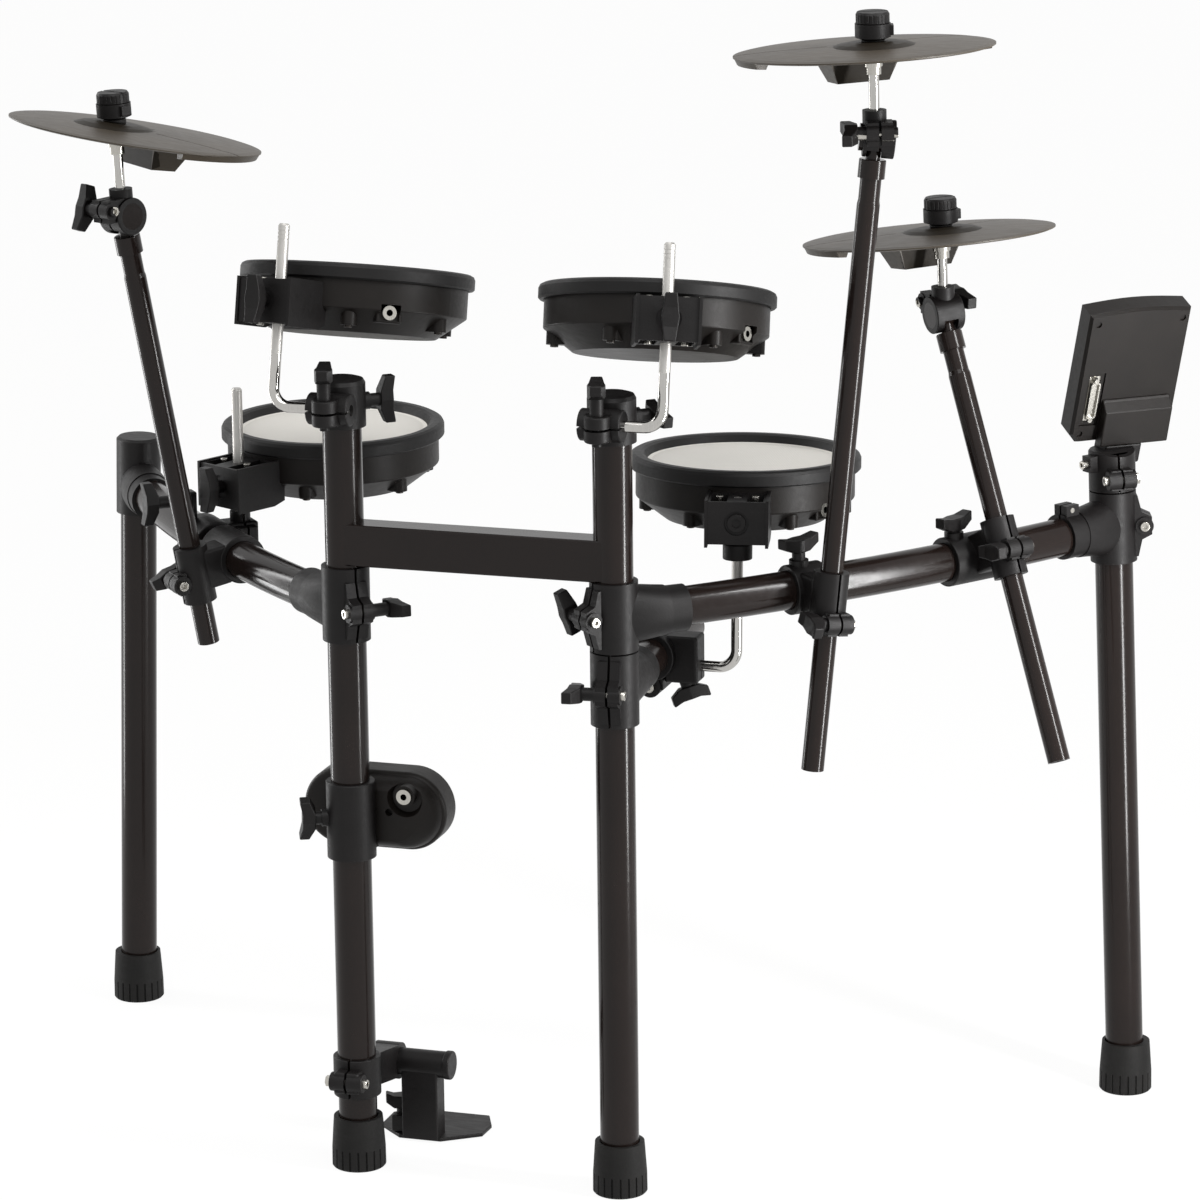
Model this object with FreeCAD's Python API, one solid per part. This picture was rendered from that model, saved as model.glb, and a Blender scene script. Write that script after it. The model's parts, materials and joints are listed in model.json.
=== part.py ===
import FreeCAD, Part
import math
import os

V = FreeCAD.Vector
os.makedirs("parts", exist_ok=True)

# Rack, all sizes in mm
TUBE_R = 19.05
TUBE_WALL = 1.6
FRONT_HALF = 136.0
REAR_X = 527.5
REAR_Y = 427.0
WING_BOW = 24.0
BAR_Z = {-1: 574.0, 1: 583.0}
BAR_RISE = {-1: 0.0, 1: 12.5}
LEG_LEAN = 0.0336
SNARE_ARM_Z = 512.0
SNARE_ARM_END = 236.0
SNARE_REACH = 82.0
POST_TOP = 797.0
LEG_TOP = {-1: 620.0, 1: 670.0}
CROSSBAR_Z = 638.5
CROSSBAR_H = 41.0
CROSSBAR_D = 30.0
CROSSBAR_FRONT = -18.0
TEE_R = 23.5
BRANCH_R = 23.0
TEE_REACH = 72.0
BAR_SETBACK = 25.0
FIT = 0.05
FOOT_H = 52.0
FOOT_SOLE = 6.0
FLUTES = 20

# Pads
ROD_R = 5.5
ROD_BEND = 18.0
PAD_REACH = 132.0
HOOP_R = 115.0
SHELL_R = 109.0
HEAD_Z = -8.0
SHELL_FLOOR = -65.0
HOOP_H = 15.5
PLATE_Y = -159.0
BOSSES = 6
TOM_ARM_Z = 775.0
TOM_ARM_Y = -30.0
TOM_ROD_X = 59.0
JACK_R = 3.2

# Cymbals
CYMBAL_R = 124.5
BELL_OFFSET = 25.0
BOOM_R = 11.0
BOOM_TOP_R = 10.2
NECK_LEN = 18.0
TILT_RISE = 20.0
CORE_R = 13.0
PIN_R = 5.0

# Module
MODULE_W = 110.0
MODULE_H = 150.0
MODULE_T = 26.0
MODULE_AZ = -51.9
MODULE_LEAN = 19.6

# Kick trigger and pedal bracket
KICK_Z = 365.0
PEDAL_Z = 95.0
PEDAL_TUBE_Y = 88.0
PEDAL_TUBE_Z = 80.0

UP = V(0, 0, 1)
nodes = {}
marks = []


def unit(v):
    return V(v) / v.Length


def az(deg):
    a = math.radians(deg)
    return V(math.cos(a), math.sin(a), 0)


def cyl(r, h, base=(0, 0, 0), axis=(0, 0, 1)):
    return Part.makeCylinder(r, h, V(*base), V(*axis))


def rod(r, a, b):
    return Part.makeCylinder(r, (b - a).Length, a, b - a)


def box(x0, x1, y0, y1, z0, z1):
    return Part.makeBox(x1 - x0, y1 - y0, z1 - z0, V(x0, y0, z0))


def face_of(points):
    return Part.Face(Part.makePolygon(points + [points[0]]))


def lathe(profile, turn=360):
    return face_of([V(r, 0, z) for r, z in profile]).revolve(V(0, 0, 0), UP, turn)


def prism(outline, z0, z1):
    return face_of([V(x, y, z0) for x, y in outline]).extrude(V(0, 0, z1 - z0))


def slab(outline, y0, y1):
    return face_of([V(x, y0, z) for x, z in outline]).extrude(V(0, y1 - y0, 0))


def rounded(w, h, r, z0, z1):
    body = box(-w / 2, w / 2, -h / 2, h / 2, z0, z1)
    upright = [e for e in body.Edges if abs(e.BoundBox.ZLength - (z1 - z0)) < 1e-6]
    return body.makeFillet(r, upright)


def hexagon(r, z0, z1):
    return prism([(r * math.cos(k * math.pi / 3), r * math.sin(k * math.pi / 3)) for k in range(6)], z0, z1)


def soften(shape, r, edges=None):
    try:
        done = shape.makeFillet(r, edges if edges else shape.Edges)
        return done if done.isValid() and done.Volume > 0 else shape
    except Exception:
        return shape


def fuse(first, *rest):
    return first.fuse(list(rest)).removeSplitter()


def cut(body, *tools):
    return body.cut(list(tools))


def frame(origin, z_axis, x_hint):
    z = unit(z_axis)
    y = unit(z.cross(x_hint))
    x = y.cross(z)
    m = FreeCAD.Matrix(x.x, y.x, z.x, origin.x, x.y, y.y, z.y, origin.y, x.z, y.z, z.z, origin.z, 0, 0, 0, 1)
    return FreeCAD.Placement(m)


def put(shape, place):
    moved = shape.copy()
    moved.Placement = place.multiply(moved.Placement)
    return moved


def put_all(shapes, place):
    return [put(s, place) for s in shapes]


def spin(shape, deg):
    moved = shape.copy()
    moved.rotate(V(0, 0, 0), UP, deg)
    return moved


def node(name, *shapes):
    kept = []
    for s in shapes:
        kept.extend(s.Solids)
    nodes[name] = kept


def mark(name, point, axis=UP):
    marks.append((name, V(point), unit(axis)))


def wing_bolt(neck=14.0, span=46.0):
    half = span / 2
    top = neck + 16.0
    plan = prism([(-half, -5.5), (0, -8.8), (half, -5.5), (half, 5.5), (0, 8.8), (-half, 5.5)], neck, top)
    side = slab([(-9, neck), (9, neck), (half, neck + 6), (half, top), (9, top - 3), (-9, top - 3),
                 (-half, top), (-half, neck + 6)], -12, 12)
    return fuse(soften(plan.common(side), 1.3), cyl(6.5, neck + 1))


def cap_screw(r=4.6, head=4.0, shank=0.0, shank_r=3.2):
    top = cut(cyl(r, head), hexagon(r * 0.55, head * 0.4, head + 1))
    if shank > 0:
        top = fuse(top, cyl(shank_r, shank, (0, 0, -shank)))
    return soften(top, 0.5, [e for e in top.Edges if abs(e.BoundBox.ZMin - head) < 1e-6 and e.Length > 4 * r])


def tube_between(r, wall, a, b):
    return cut(rod(r, a, b), rod(r - wall, a, b))


# Wing bar arc
CHORD = math.hypot(REAR_X - FRONT_HALF, REAR_Y)
BAR_R = (CHORD ** 2 / 4 + WING_BOW ** 2) / (2 * WING_BOW)
MID = V((FRONT_HALF + REAR_X) / 2, REAR_Y / 2, 0)
ALONG = V((REAR_X - FRONT_HALF) / CHORD, REAR_Y / CHORD, 0)
OUT = V(ALONG.y, -ALONG.x, 0)
ARC_C = MID - OUT * (BAR_R - WING_BOW)
ARC_A0 = math.atan2(-ARC_C.y, FRONT_HALF - ARC_C.x)
ARC_A1 = math.atan2(REAR_Y - ARC_C.y, REAR_X - ARC_C.x)


def bar_tilt(side):
    turn = side * math.degrees(math.atan2(BAR_RISE[side], CHORD))
    swing = FreeCAD.Rotation(V(side * OUT.x, OUT.y, 0), turn)
    return FreeCAD.Placement(V(0, 0, 0), swing, V(side * FRONT_HALF, 0, BAR_Z[side]))


def bar_point(side, t):
    a = ARC_A0 + (ARC_A1 - ARC_A0) * t
    o = V(math.cos(a), math.sin(a), 0)
    p = ARC_C + o * BAR_R
    tilt = bar_tilt(side)
    along = tilt.Rotation.multVec(V(-side * o.y, o.x, 0))
    outward = tilt.Rotation.multVec(V(side * o.x, o.y, 0))
    return tilt.multVec(V(side * p.x, p.y, BAR_Z[side])), along, outward


def bar_solid(side, r, setback):
    d = setback / BAR_R
    lo = ARC_A0 + d
    hi = ARC_A1 - d
    if side < 0:
        lo, hi = math.pi - hi, math.pi - lo
    ring = Part.makeTorus(BAR_R, r, V(0, 0, 0), UP, 0, 360, math.degrees(hi - lo))
    ring.rotate(V(0, 0, 0), UP, math.degrees(lo))
    ring.translate(V(side * ARC_C.x, ARC_C.y, BAR_Z[side]))
    return put(ring, bar_tilt(side))


def leg_up(side):
    return unit(V(-side * LEG_LEAN, 0, 1))


def leg_at(side, z):
    end = bar_point(side, 1.0)[0]
    d = leg_up(side)
    return end + d * ((z - end.z) / d.z)


def oval(x, tall, wide):
    ring = Part.Ellipse(V(0, 0, 0), tall, wide).toShape()
    ring.rotate(V(0, 0, 0), V(0, 1, 0), -90)
    ring.translate(V(x, 0, 0))
    return Part.Wire([ring])


def tee(up, down, fit, ear, winged, flip=1, span=(1, 0, 0.05), neck=12, tab=False, straight=False):
    low = min(up, down)
    collar = cyl(TEE_R, up + down, (0, 0, -down))
    sections = [oval(4, low - 2.5, 20.5), oval(30, 27, 23.6), oval(52, BRANCH_R + 1.2, BRANCH_R + 0.8)]
    web = Part.makeLoft(sections, True)
    branch = cyl(BRANCH_R, TEE_REACH - 47, (47, 0, 0), (1, 0, 0))
    h = low - 5
    flank = slab([(15, -h), (24, -h), (28, -14), (38, -9), (38, 9), (28, 14), (24, h), (15, h)], -11, 11)
    boss = cyl(9, 26, (30.5, -13, 0), (0, 1, 0))
    body = fuse(collar, web, branch, spin(fuse(flank, boss), ear))
    tools = [cyl(TUBE_R + fit, up + down + 2, (0, 0, -down - 1))]
    tools.append(spin(box(10, 45, -1.2, 1.2, -down - 1, up + 1), ear))
    tools.append(spin(cyl(3.2, 40, (30.5, -20, 0), (0, 1, 0)), ear))
    bolt = put(cap_screw(4.8, 4, 26), frame(V(30.5, -13 * flip, 0), V(0, -flip, 0), V(1, 0, 0)))
    far = frame(V(30.5, 13 * flip, 0), V(0, flip, 0), V(*span))
    end = wing_bolt(neck) if winged else cut(hexagon(5.6, 0, 4.5), cyl(2.2, 6))
    pieces = [spin(bolt, ear), spin(put(end, far), ear)]
    if tab:
        body = fuse(body, box(TEE_REACH - 18, TEE_REACH - 1.5, -9, 9, BRANCH_R - 3, BRANCH_R + 9))
        tools.append(box(TEE_REACH - 24, TEE_REACH + 1, -1.2, 1.2, 12, BRANCH_R + 10))
        tools.append(cyl(2.6, 30, (TEE_REACH - 9.5, -15, BRANCH_R + 4), (0, 1, 0)))
        at = frame(V(TEE_REACH - 9.5, -9, BRANCH_R + 4), V(0, -1, 0), V(1, 0, 0))
        pieces.append(put(cap_screw(4.2, 3.2, 18, 2.6), at))
    if straight:
        tools.append(cyl(TUBE_R, TEE_REACH, (BAR_SETBACK - 1, 0, 0), (1, 0, 0)))
    return [cut(body, *tools)] + pieces


def stand_tee(place, bar, **kw):
    placed = put_all(tee(**kw), place)
    if bar:
        placed[0] = cut(placed[0], bar)
    return placed


def foot(axis_low, axis_high):
    body = lathe([(0, 0), (25.4, 0), (26.8, 1.6), (26.6, 20), (24.8, 46), (24.3, FOOT_H), (0, FOOT_H)])
    grooves = []
    for k in range(FLUTES):
        groove = prism([(25.4, -0.2), (27.7, -1.7), (27.7, 1.7), (25.4, 0.2)], -1, 21)
        grooves.append(spin(groove, 360.0 * k / FLUTES))
    body = cut(body, *grooves)
    d = unit(axis_high - axis_low)
    floor_point = axis_low - d * (axis_low.z / d.z)
    body.translate(V(floor_point.x, floor_point.y, 0))
    rim = floor_point + d * (FOOT_H - 2)
    return cut(body, rod(TUBE_R, axis_low, axis_high), rod(TUBE_R + 0.9, rim, rim + d * 12))


# Rack nodes
POST_XY = {-1: V(-FRONT_HALF, 0, 0), 1: V(FRONT_HALF, 0, 0)}
SIDES = (("left", -1), ("right", 1))
for side_name, side in SIDES:
    p = POST_XY[side]
    node(side_name + "_front_post", tube_between(TUBE_R, TUBE_WALL, p + UP * FOOT_SOLE, p + UP * POST_TOP))
node("front_feet", *[foot(p + UP * FOOT_SOLE, p + UP * 120) for p in POST_XY.values()])

low = CROSSBAR_Z - CROSSBAR_H / 2
high = CROSSBAR_Z + CROSSBAR_H / 2
back = CROSSBAR_FRONT + CROSSBAR_D
cross = box(-FRONT_HALF, FRONT_HALF, CROSSBAR_FRONT, back, low, high)
cross = soften(cross, 2.2, [e for e in cross.Edges if e.BoundBox.XLength > 200])
bore = box(-FRONT_HALF - 1, FRONT_HALF + 1, CROSSBAR_FRONT + 2, back - 2, low + 2, high - 2)
cross = cut(cross, bore, *[rod(TUBE_R, p, p + UP * 800) for p in POST_XY.values()])
node("front_crossbar", max(cross.Solids, key=lambda s: s.Volume))

for side_name, side in SIDES:
    full = bar_solid(side, TUBE_R, BAR_SETBACK)
    node(side_name + "_wing_bar", cut(full, bar_solid(side, TUBE_R - TUBE_WALL, BAR_SETBACK)))
    p0, t0, n0 = bar_point(side, 0.085)
    p1, t1, n1 = bar_point(side, 0.915)
    front_az = math.degrees(math.atan2(t0.y, t0.x))
    rear_az = math.degrees(math.atan2(-t1.y, -t1.x))
    end = bar_point(side, 1.0)[0]
    front_place = frame(POST_XY[side] + UP * BAR_Z[side], UP, az(front_az))
    rear_place = frame(end, leg_up(side), t1 * -1)
    if side < 0:
        front = stand_tee(front_place, full, up=41, down=33, fit=FIT, ear=315 - front_az, winged=True,
                          neck=16)
        rear = stand_tee(rear_place, full, up=48, down=30, fit=0.0, ear=108 - rear_az, winged=False)
        cap = lathe([(0, 48), (TEE_R, 48), (TEE_R, 49.5), (TEE_R - 2.5, 52), (0, 52)])
        rear.append(put(cap, rear_place))
    else:
        front = stand_tee(front_place, full, up=34.5, down=33.5, fit=FIT, ear=230 - front_az, winged=True,
                          flip=-1, span=(0.35, 0, 1))
        rear = stand_tee(rear_place, full, up=36, down=36, fit=0.0, ear=18 - rear_az, winged=False, tab=True)
    node(side_name + "_wing_tees", *(front + rear))
    low = leg_at(side, FOOT_SOLE)
    node(side_name + "_rear_leg", tube_between(TUBE_R, TUBE_WALL, low, leg_at(side, LEG_TOP[side])))
    node(side_name + "_rear_foot", foot(low, leg_at(side, 120)))
    mark(side_name + "_wing", POST_XY[side] + UP * BAR_Z[side])
    mark(side_name + "_leg", low, leg_up(side))

snare_place = frame(V(FRONT_HALF, 0, SNARE_ARM_Z), UP, V(0, 1, 0))
snare_tee = stand_tee(snare_place, None, up=36, down=36, fit=FIT, ear=275 - 90, winged=True, flip=-1,
                      straight=True)
node("snare_tee", *snare_tee)
arm_a = V(FRONT_HALF, BAR_SETBACK, SNARE_ARM_Z)
arm_b = V(FRONT_HALF, SNARE_ARM_END, SNARE_ARM_Z)
plug = soften(rod(TUBE_R, arm_b, arm_b + V(0, 3, 0)), 1.2)
node("snare_arm", tube_between(TUBE_R, TUBE_WALL, arm_a, arm_b), plug)
mark("snare_arm", V(FRONT_HALF, 0, SNARE_ARM_Z))


# Pads, local frame: hoop top at z 0, rod along z at y = -PAD_REACH
JACK_TURN = -38.0
FLOOR_JACK_TURN = 90.0
BRACKET_SCREW_Y = -136.0
JACK_AT = V(104.8, 0, -45)


def pad_shell(jack_turn):
    rim = -HOOP_H + 2.2
    shell = lathe([(0, SHELL_FLOOR), (80, SHELL_FLOOR), (SHELL_R, -43), (SHELL_R, rim), (105.3, rim),
                   (105.3, -20), (98.5, -20), (98.5, HEAD_Z - 0.8), (95.5, HEAD_Z - 0.8), (95.5, -22),
                   (105, -25), (105, -41.5), (78, SHELL_FLOOR + 3.2), (0, SHELL_FLOOR + 3.2)])
    shell = soften(shell, 2.0, [e for e in shell.Edges if abs(e.BoundBox.ZMax + 43) < 0.01
                                or abs(e.BoundBox.ZMax - SHELL_FLOOR) < 0.01])
    bosses = []
    for k in range(BOSSES):
        post = fuse(cyl(8.0, 16, (97.5, 0, -59)), box(80, 97.5, -8, 8, -59, -43))
        bosses.append(spin(post, -60 + 360.0 * k / BOSSES))
    seat = soften(box(78, 104, -13, 13, -55, -36), 2.0)
    bosses.append(spin(seat, jack_turn))
    shell = fuse(shell, *bosses)
    inner = lathe([(0, SHELL_FLOOR + 3.2), (78, SHELL_FLOOR + 3.2), (105, -41.5), (105, -25), (95.5, -22),
                   (95.5, -10), (0, -10)])
    pocket = spin(box(101.5, 110, -10, 10, -52.7, -37.3), jack_turn)
    shell = cut(shell, inner, pocket, spin(cyl(6.2, 40, (70, 0, -45), (1, 0, 0)), jack_turn))
    return max(shell.Solids, key=lambda s: s.Volume)


def pad_bracket():
    block = box(-28, 28, PLATE_Y, -104, -63, -21)
    for s in (-1, 1):
        x0, x1 = sorted((s * 9.5, s * 25.5))
        block = cut(block, box(x0, x1, PLATE_Y + 3.5, -112, -40, -20))
        block = cut(block, box(x0, x1, PLATE_Y + 3.5, -112, -64, -43))
    flanges = []
    for s in (-1, 1):
        x0, x1 = sorted((s * 28, s * 31))
        outline = [(PLATE_Y - 1.5, -19.5), (-98, -19.5), (-98, -62), (-112, -66), (PLATE_Y - 1.5, -66)]
        flange = face_of([V(x0, y, z) for y, z in outline]).extrude(V(x1 - x0, 0, 0))
        flanges.append(flange)
    block = fuse(block, *flanges)
    wedge = lathe([(0, -70), (80, -70), (80, SHELL_FLOOR), (SHELL_R, -43), (SHELL_R, -10), (0, -10)])
    body = cut(block, wedge, cyl(HOOP_R + 0.4, 17, (0, 0, -HOOP_H - 0.4)), cyl(ROD_R + FIT, 60,
                                                                               (0, -PAD_REACH, -70)),
               cyl(12, 2, (0, PLATE_Y, -42), (0, 1, 0)))
    return max(body.Solids, key=lambda s: s.Volume)


def pad_parts(winged, jack_turn=JACK_TURN):
    hoop = lathe([(97.5, HEAD_Z), (104.9, HEAD_Z), (104.9, -HOOP_H + 2.2), (109.6, -HOOP_H + 2.2),
                  (109.6, -HOOP_H), (113.4, -HOOP_H), (HOOP_R, -HOOP_H + 1.6), (HOOP_R, -4.5), (113.6, -1.6),
                  (110.6, 0), (104.5, 0), (101, -1.4)])
    head = lathe([(0, HEAD_Z - 0.8), (99, HEAD_Z - 0.8), (99, -13.2), (104.5, -13.2), (104.5, HEAD_Z),
                  (0, HEAD_Z)])
    pieces = [pad_bracket()]
    if winged:
        pieces.append(put(wing_bolt(9), frame(V(0, PLATE_Y + 2, -42), V(0, -1, 0), UP)))
    else:
        pieces.append(put(cap_screw(9, 3), frame(V(0, PLATE_Y + 2, -42), V(0, -1, 0), UP)))
    for s in (-1, 1):
        pieces.append(put(cap_screw(3.6, 3, 18, 2.6),
                          frame(V(s * 17.5, BRACKET_SCREW_Y, -22), UP, V(1, 0, 0))))
        pieces.append(put(cap_screw(3.6, 3, 19, 2.6),
                          frame(V(s * 17.5, BRACKET_SCREW_Y, -62), V(0, 0, -1), V(1, 0, 0))))
    for k in range(BOSSES):
        screw = put(cap_screw(4.0, 2.4), frame(V(97.5, 0, -59), V(0, 0, -1), V(1, 0, 0)))
        pieces.append(spin(screw, -60 + 360.0 * k / BOSSES))
    barrel = fuse(cyl(6.2, 21.5, (80, 0, -45), (1, 0, 0)), cyl(7.0, 3.3, (101.5, 0, -45), (1, 0, 0)))
    pieces.append(spin(cut(barrel, cyl(JACK_R, 30, (83, 0, -45), (1, 0, 0))), jack_turn))
    deck = SHELL_FLOOR + 3.2
    bridge = fuse(box(-60, 60, -8, 8, -51, -48), box(-60, -52, -8, 8, deck, -48), box(52, 60, -8, 8,
                                                                                      deck, -48))
    cone = Part.makeCone(17, 5, HEAD_Z - 0.8 + 46.5, V(0, 0, -46.5))
    pieces.extend([bridge, cyl(20, 1.5, (0, 0, -48)), cone])
    return {"shell": [pad_shell(jack_turn)], "hoop": [hoop], "head": [head], "fittings": pieces}


WING_PAD = pad_parts(True)
PLAIN_PAD = pad_parts(False)
FLOOR_PAD = pad_parts(True, FLOOR_JACK_TURN)


def pad_at(name, rod_point, axis, yaw, along, parts, jack_turn=JACK_TURN):
    d = unit(axis)
    r = V(math.sin(math.radians(yaw)), math.cos(math.radians(yaw)), 0)
    r = unit(r - d * r.dot(d))
    origin = rod_point + d * along + r * PAD_REACH
    place = frame(origin, d, r.cross(d))
    for part_name, shapes in parts.items():
        node(name + "_" + part_name, *put_all(shapes, place))
    mark(name + "_pad", rod_point, d)
    mark(name + "_hoop", origin, d)
    turn = FreeCAD.Rotation(UP, jack_turn)
    mark(name + "_jack", place.multVec(turn.multVec(JACK_AT)),
         place.Rotation.multVec(turn.multVec(V(1, 0, 0))))


def bent_rod(corner, arm_dir, leg_dir, arm, leg):
    a = unit(arm_dir)
    l = unit(leg_dir)
    half = math.acos(a.dot(l)) / 2
    setback = ROD_BEND / math.tan(half)
    level = rod(ROD_R, corner + a * setback, corner + a * arm)
    stem = rod(ROD_R, corner + l * setback, corner + l * (leg - 2))
    tip = Part.makeCone(ROD_R, ROD_R - 1.4, 2, corner + l * (leg - 2), l)
    centre = corner + unit(a + l) * (ROD_BEND / math.sin(half))
    start = unit(corner + a * setback - centre)
    finish = unit(corner + l * setback - centre)
    turn = Part.makeTorus(ROD_BEND, ROD_R, V(0, 0, 0), UP, 0, 360, 180 - math.degrees(2 * half))
    turn = put(turn, frame(centre, start.cross(finish), start))
    body = fuse(level, turn, stem, tip)
    for k in range(3):
        at = corner + l * (leg - 8 - 4 * k)
        body = cut(body, cut(rod(ROD_R + 1, at, at + l * 1.2), rod(ROD_R - 0.5, at, at + l * 1.2)))
    return body


def tom_clamp(rear_span):
    cap = lathe([(0, 25), (17, 25), (21.5, 23.6), (23.5, 20), (23.5, -22), (0, -22)])
    jaw = soften(cyl(15.5, 42, (-21, TOM_ARM_Y, 0), (1, 0, 0)), 1.5)
    lug = soften(cyl(12.5, 26, (0, -46, -13)), 2.5)
    tie = box(-12.5, 12.5, -46, -8, -13, 13)
    stub = spin(cyl(8.5, 10, (18, 0, 0), (1, 0, 0)), 40)
    body = fuse(cap, jaw, lug, tie, stub)
    body = cut(body, cyl(TUBE_R + FIT, 45.5, (0, 0, -23)), cyl(ROD_R + FIT, 60, (-30, TOM_ARM_Y, 0),
                                                               (1, 0, 0)),
               box(-30, 30, -65, TOM_ARM_Y, -1.2, 1.2), cyl(3.2, 40, (0, -47, -20)))
    bolt = put(cap_screw(4.8, 4, 26), frame(V(0, -47, -13), V(0, 0, -1), V(1, 0, 0)))
    front = put(wing_bolt(17), frame(V(0, -47, 13), UP, V(0.3, -1, 0)))
    rear = put(wing_bolt(10), frame(az(40) * 28, az(40), rear_span))
    return [body, bolt, front, rear]


TOMS = (("left_tom", -1, V(0, 0.2586, 1), 13.4, 141.7, UP),
        ("right_tom", 1, V(-0.0354, 0.2956, 1), -20.5, 143.3, V(-0.6, 0.75, 0.2)))
for name, side, lean, yaw, along, rear_span in TOMS:
    post = V(side * FRONT_HALF, 0, TOM_ARM_Z)
    node(name + "_clamp", *put_all(tom_clamp(rear_span), FreeCAD.Placement(post, FreeCAD.Rotation())))
    corner = post + V(side * TOM_ROD_X, TOM_ARM_Y, 0)
    node(name + "_rod", bent_rod(corner, V(-side, 0, 0), lean, TOM_ROD_X + 19, 175))
    pad_at(name, corner, lean, yaw, along, WING_PAD)
    mark(name + "_clamp", post)
    mark(name + "_rod", corner, V(1, 0, 0))


# Floor tom clamp, local frame: bar along x towards the front post, inside of the rack at +y
FLOOR_REACH = 36.0
BAR_GAP = 0.3


def on_bar(pieces, side, place):
    placed = put_all(pieces, place)
    bored = cut(placed[0], bar_solid(side, TUBE_R + BAR_GAP, BAR_SETBACK))
    placed[0] = max(bored.Solids, key=lambda s: s.Volume)
    return placed


def top_wing(x, neck, lean, span):
    boss = cyl(9.5, 9, (x, 0, 20))
    wing = put(wing_bolt(neck), frame(V(x, 0, 29), UP, span))
    for s in (boss, wing):
        s.rotate(V(0, 0, 0), V(1, 0, 0), -lean)
    return boss, wing


def floor_clamp():
    ring = soften(cyl(24.5, 46, (-16, 0, 0), (1, 0, 0)), 1.2)
    block = soften(box(-14, 14, 12, 51, -17, 17), 3.0)
    lug = soften(box(-20, -4, -24, -8, 4, 50), 2.5)
    neck = soften(cyl(10.5, 49, (0, FLOOR_REACH, -22)), 1.2)
    ear = soften(box(4, 24, FLOOR_REACH - 11, FLOOR_REACH + 11, -9, 14), 2.5)
    body = fuse(ring, block, lug, neck, ear)
    body = cut(body, cyl(ROD_R + FIT, 90, (0, FLOOR_REACH, -40)),
               box(0, 40, FLOOR_REACH - 1.2, FLOOR_REACH + 1.2, -60, 60))
    wing = put(wing_bolt(25, 44), frame(V(-12, -24, 41), V(0, -1, 0), UP))
    lock = put(cap_screw(5, 4), frame(V(16, FLOOR_REACH - 11, 2.5), V(0, -1, 0), UP))
    return [body, wing, lock]


p, t, n = bar_point(-1, 0.540)
node("floor_tom_clamp", *on_bar(floor_clamp(), -1, frame(p, UP, t * -1)))
floor_rod = p - n * FLOOR_REACH
stem = rod(ROD_R, V(floor_rod.x, floor_rod.y, 540), V(floor_rod.x, floor_rod.y, 726))
tip = Part.makeCone(ROD_R, ROD_R - 1.4, 2, V(floor_rod.x, floor_rod.y, 726), UP)
node("floor_tom_rod", fuse(stem, tip))
pad_at("floor_tom", V(floor_rod.x, floor_rod.y, 540), UP, 26.5, 672 - 540, FLOOR_PAD, FLOOR_JACK_TURN)
mark("floor_tom_clamp", p, t)
mark("floor_tom_rod", V(floor_rod.x, floor_rod.y, BAR_Z[-1]))


# Snare clamp, local frame: arm along y, rod leaving along +x below the arm axis
def snare_clamp():
    ring = soften(cyl(24.5, 46, (0, -23, 0), (0, 1, 0)), 1.2)
    boss = soften(box(12, 46, -14, 14, -27, 20), 3.0)
    hinge = cyl(11, 38, (-1, -19, -31), (0, 1, 0))
    body = fuse(ring, boss, hinge, box(-9, 12, -17, 17, -34, -15))
    body = cut(body, cyl(TUBE_R + FIT, 80, (0, -40, 0), (0, 1, 0)), cyl(ROD_R + FIT, 40, (25, 0, -11),
                                                                        (1, 0, 0)),
               cyl(3.2, 60, (-1, -30, -31), (0, 1, 0)), box(20, 60, -1.2, 1.2, -30, -11))
    bolt = put(cap_screw(5.2, 4, 38), frame(V(-1, -19, -31), V(0, -1, 0), V(1, 0, 0)))
    wing = put(wing_bolt(6, 38), frame(V(30, 0, -27), V(0.35, 0, -1), V(1, 0.5, 0.35)))
    return [body, bolt, wing]


SNARE_ROD = V(FRONT_HALF + SNARE_REACH, 135, SNARE_ARM_Z - 11)
SNARE_AXIS = unit(V(0, 0.049, 1))
SNARE_ALONG = 190.8
clamp_place = FreeCAD.Placement(V(FRONT_HALF, SNARE_ROD.y, SNARE_ARM_Z), FreeCAD.Rotation())
node("snare_clamp", *put_all(snare_clamp(), clamp_place))
hub_low = SNARE_ROD + SNARE_AXIS * (SNARE_ALONG - 82)
hub = soften(rod(14.5, hub_low, hub_low + SNARE_AXIS * 15.6), 1.2)
hub = cut(hub, rod(ROD_R, hub_low - SNARE_AXIS * 5, hub_low + SNARE_AXIS * 30))
snare_rod = bent_rod(SNARE_ROD, V(-1, 0, 0), SNARE_AXIS, 55, SNARE_ALONG - 21.5)
node("snare_rod", snare_rod, hub)
pad_at("snare", SNARE_ROD, SNARE_AXIS, -13.0, SNARE_ALONG, PLAIN_PAD)
mark("snare_clamp", V(FRONT_HALF, SNARE_ROD.y, SNARE_ARM_Z), V(0, 1, 0))
mark("snare_rod", SNARE_ROD, V(1, 0, 0))


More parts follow.
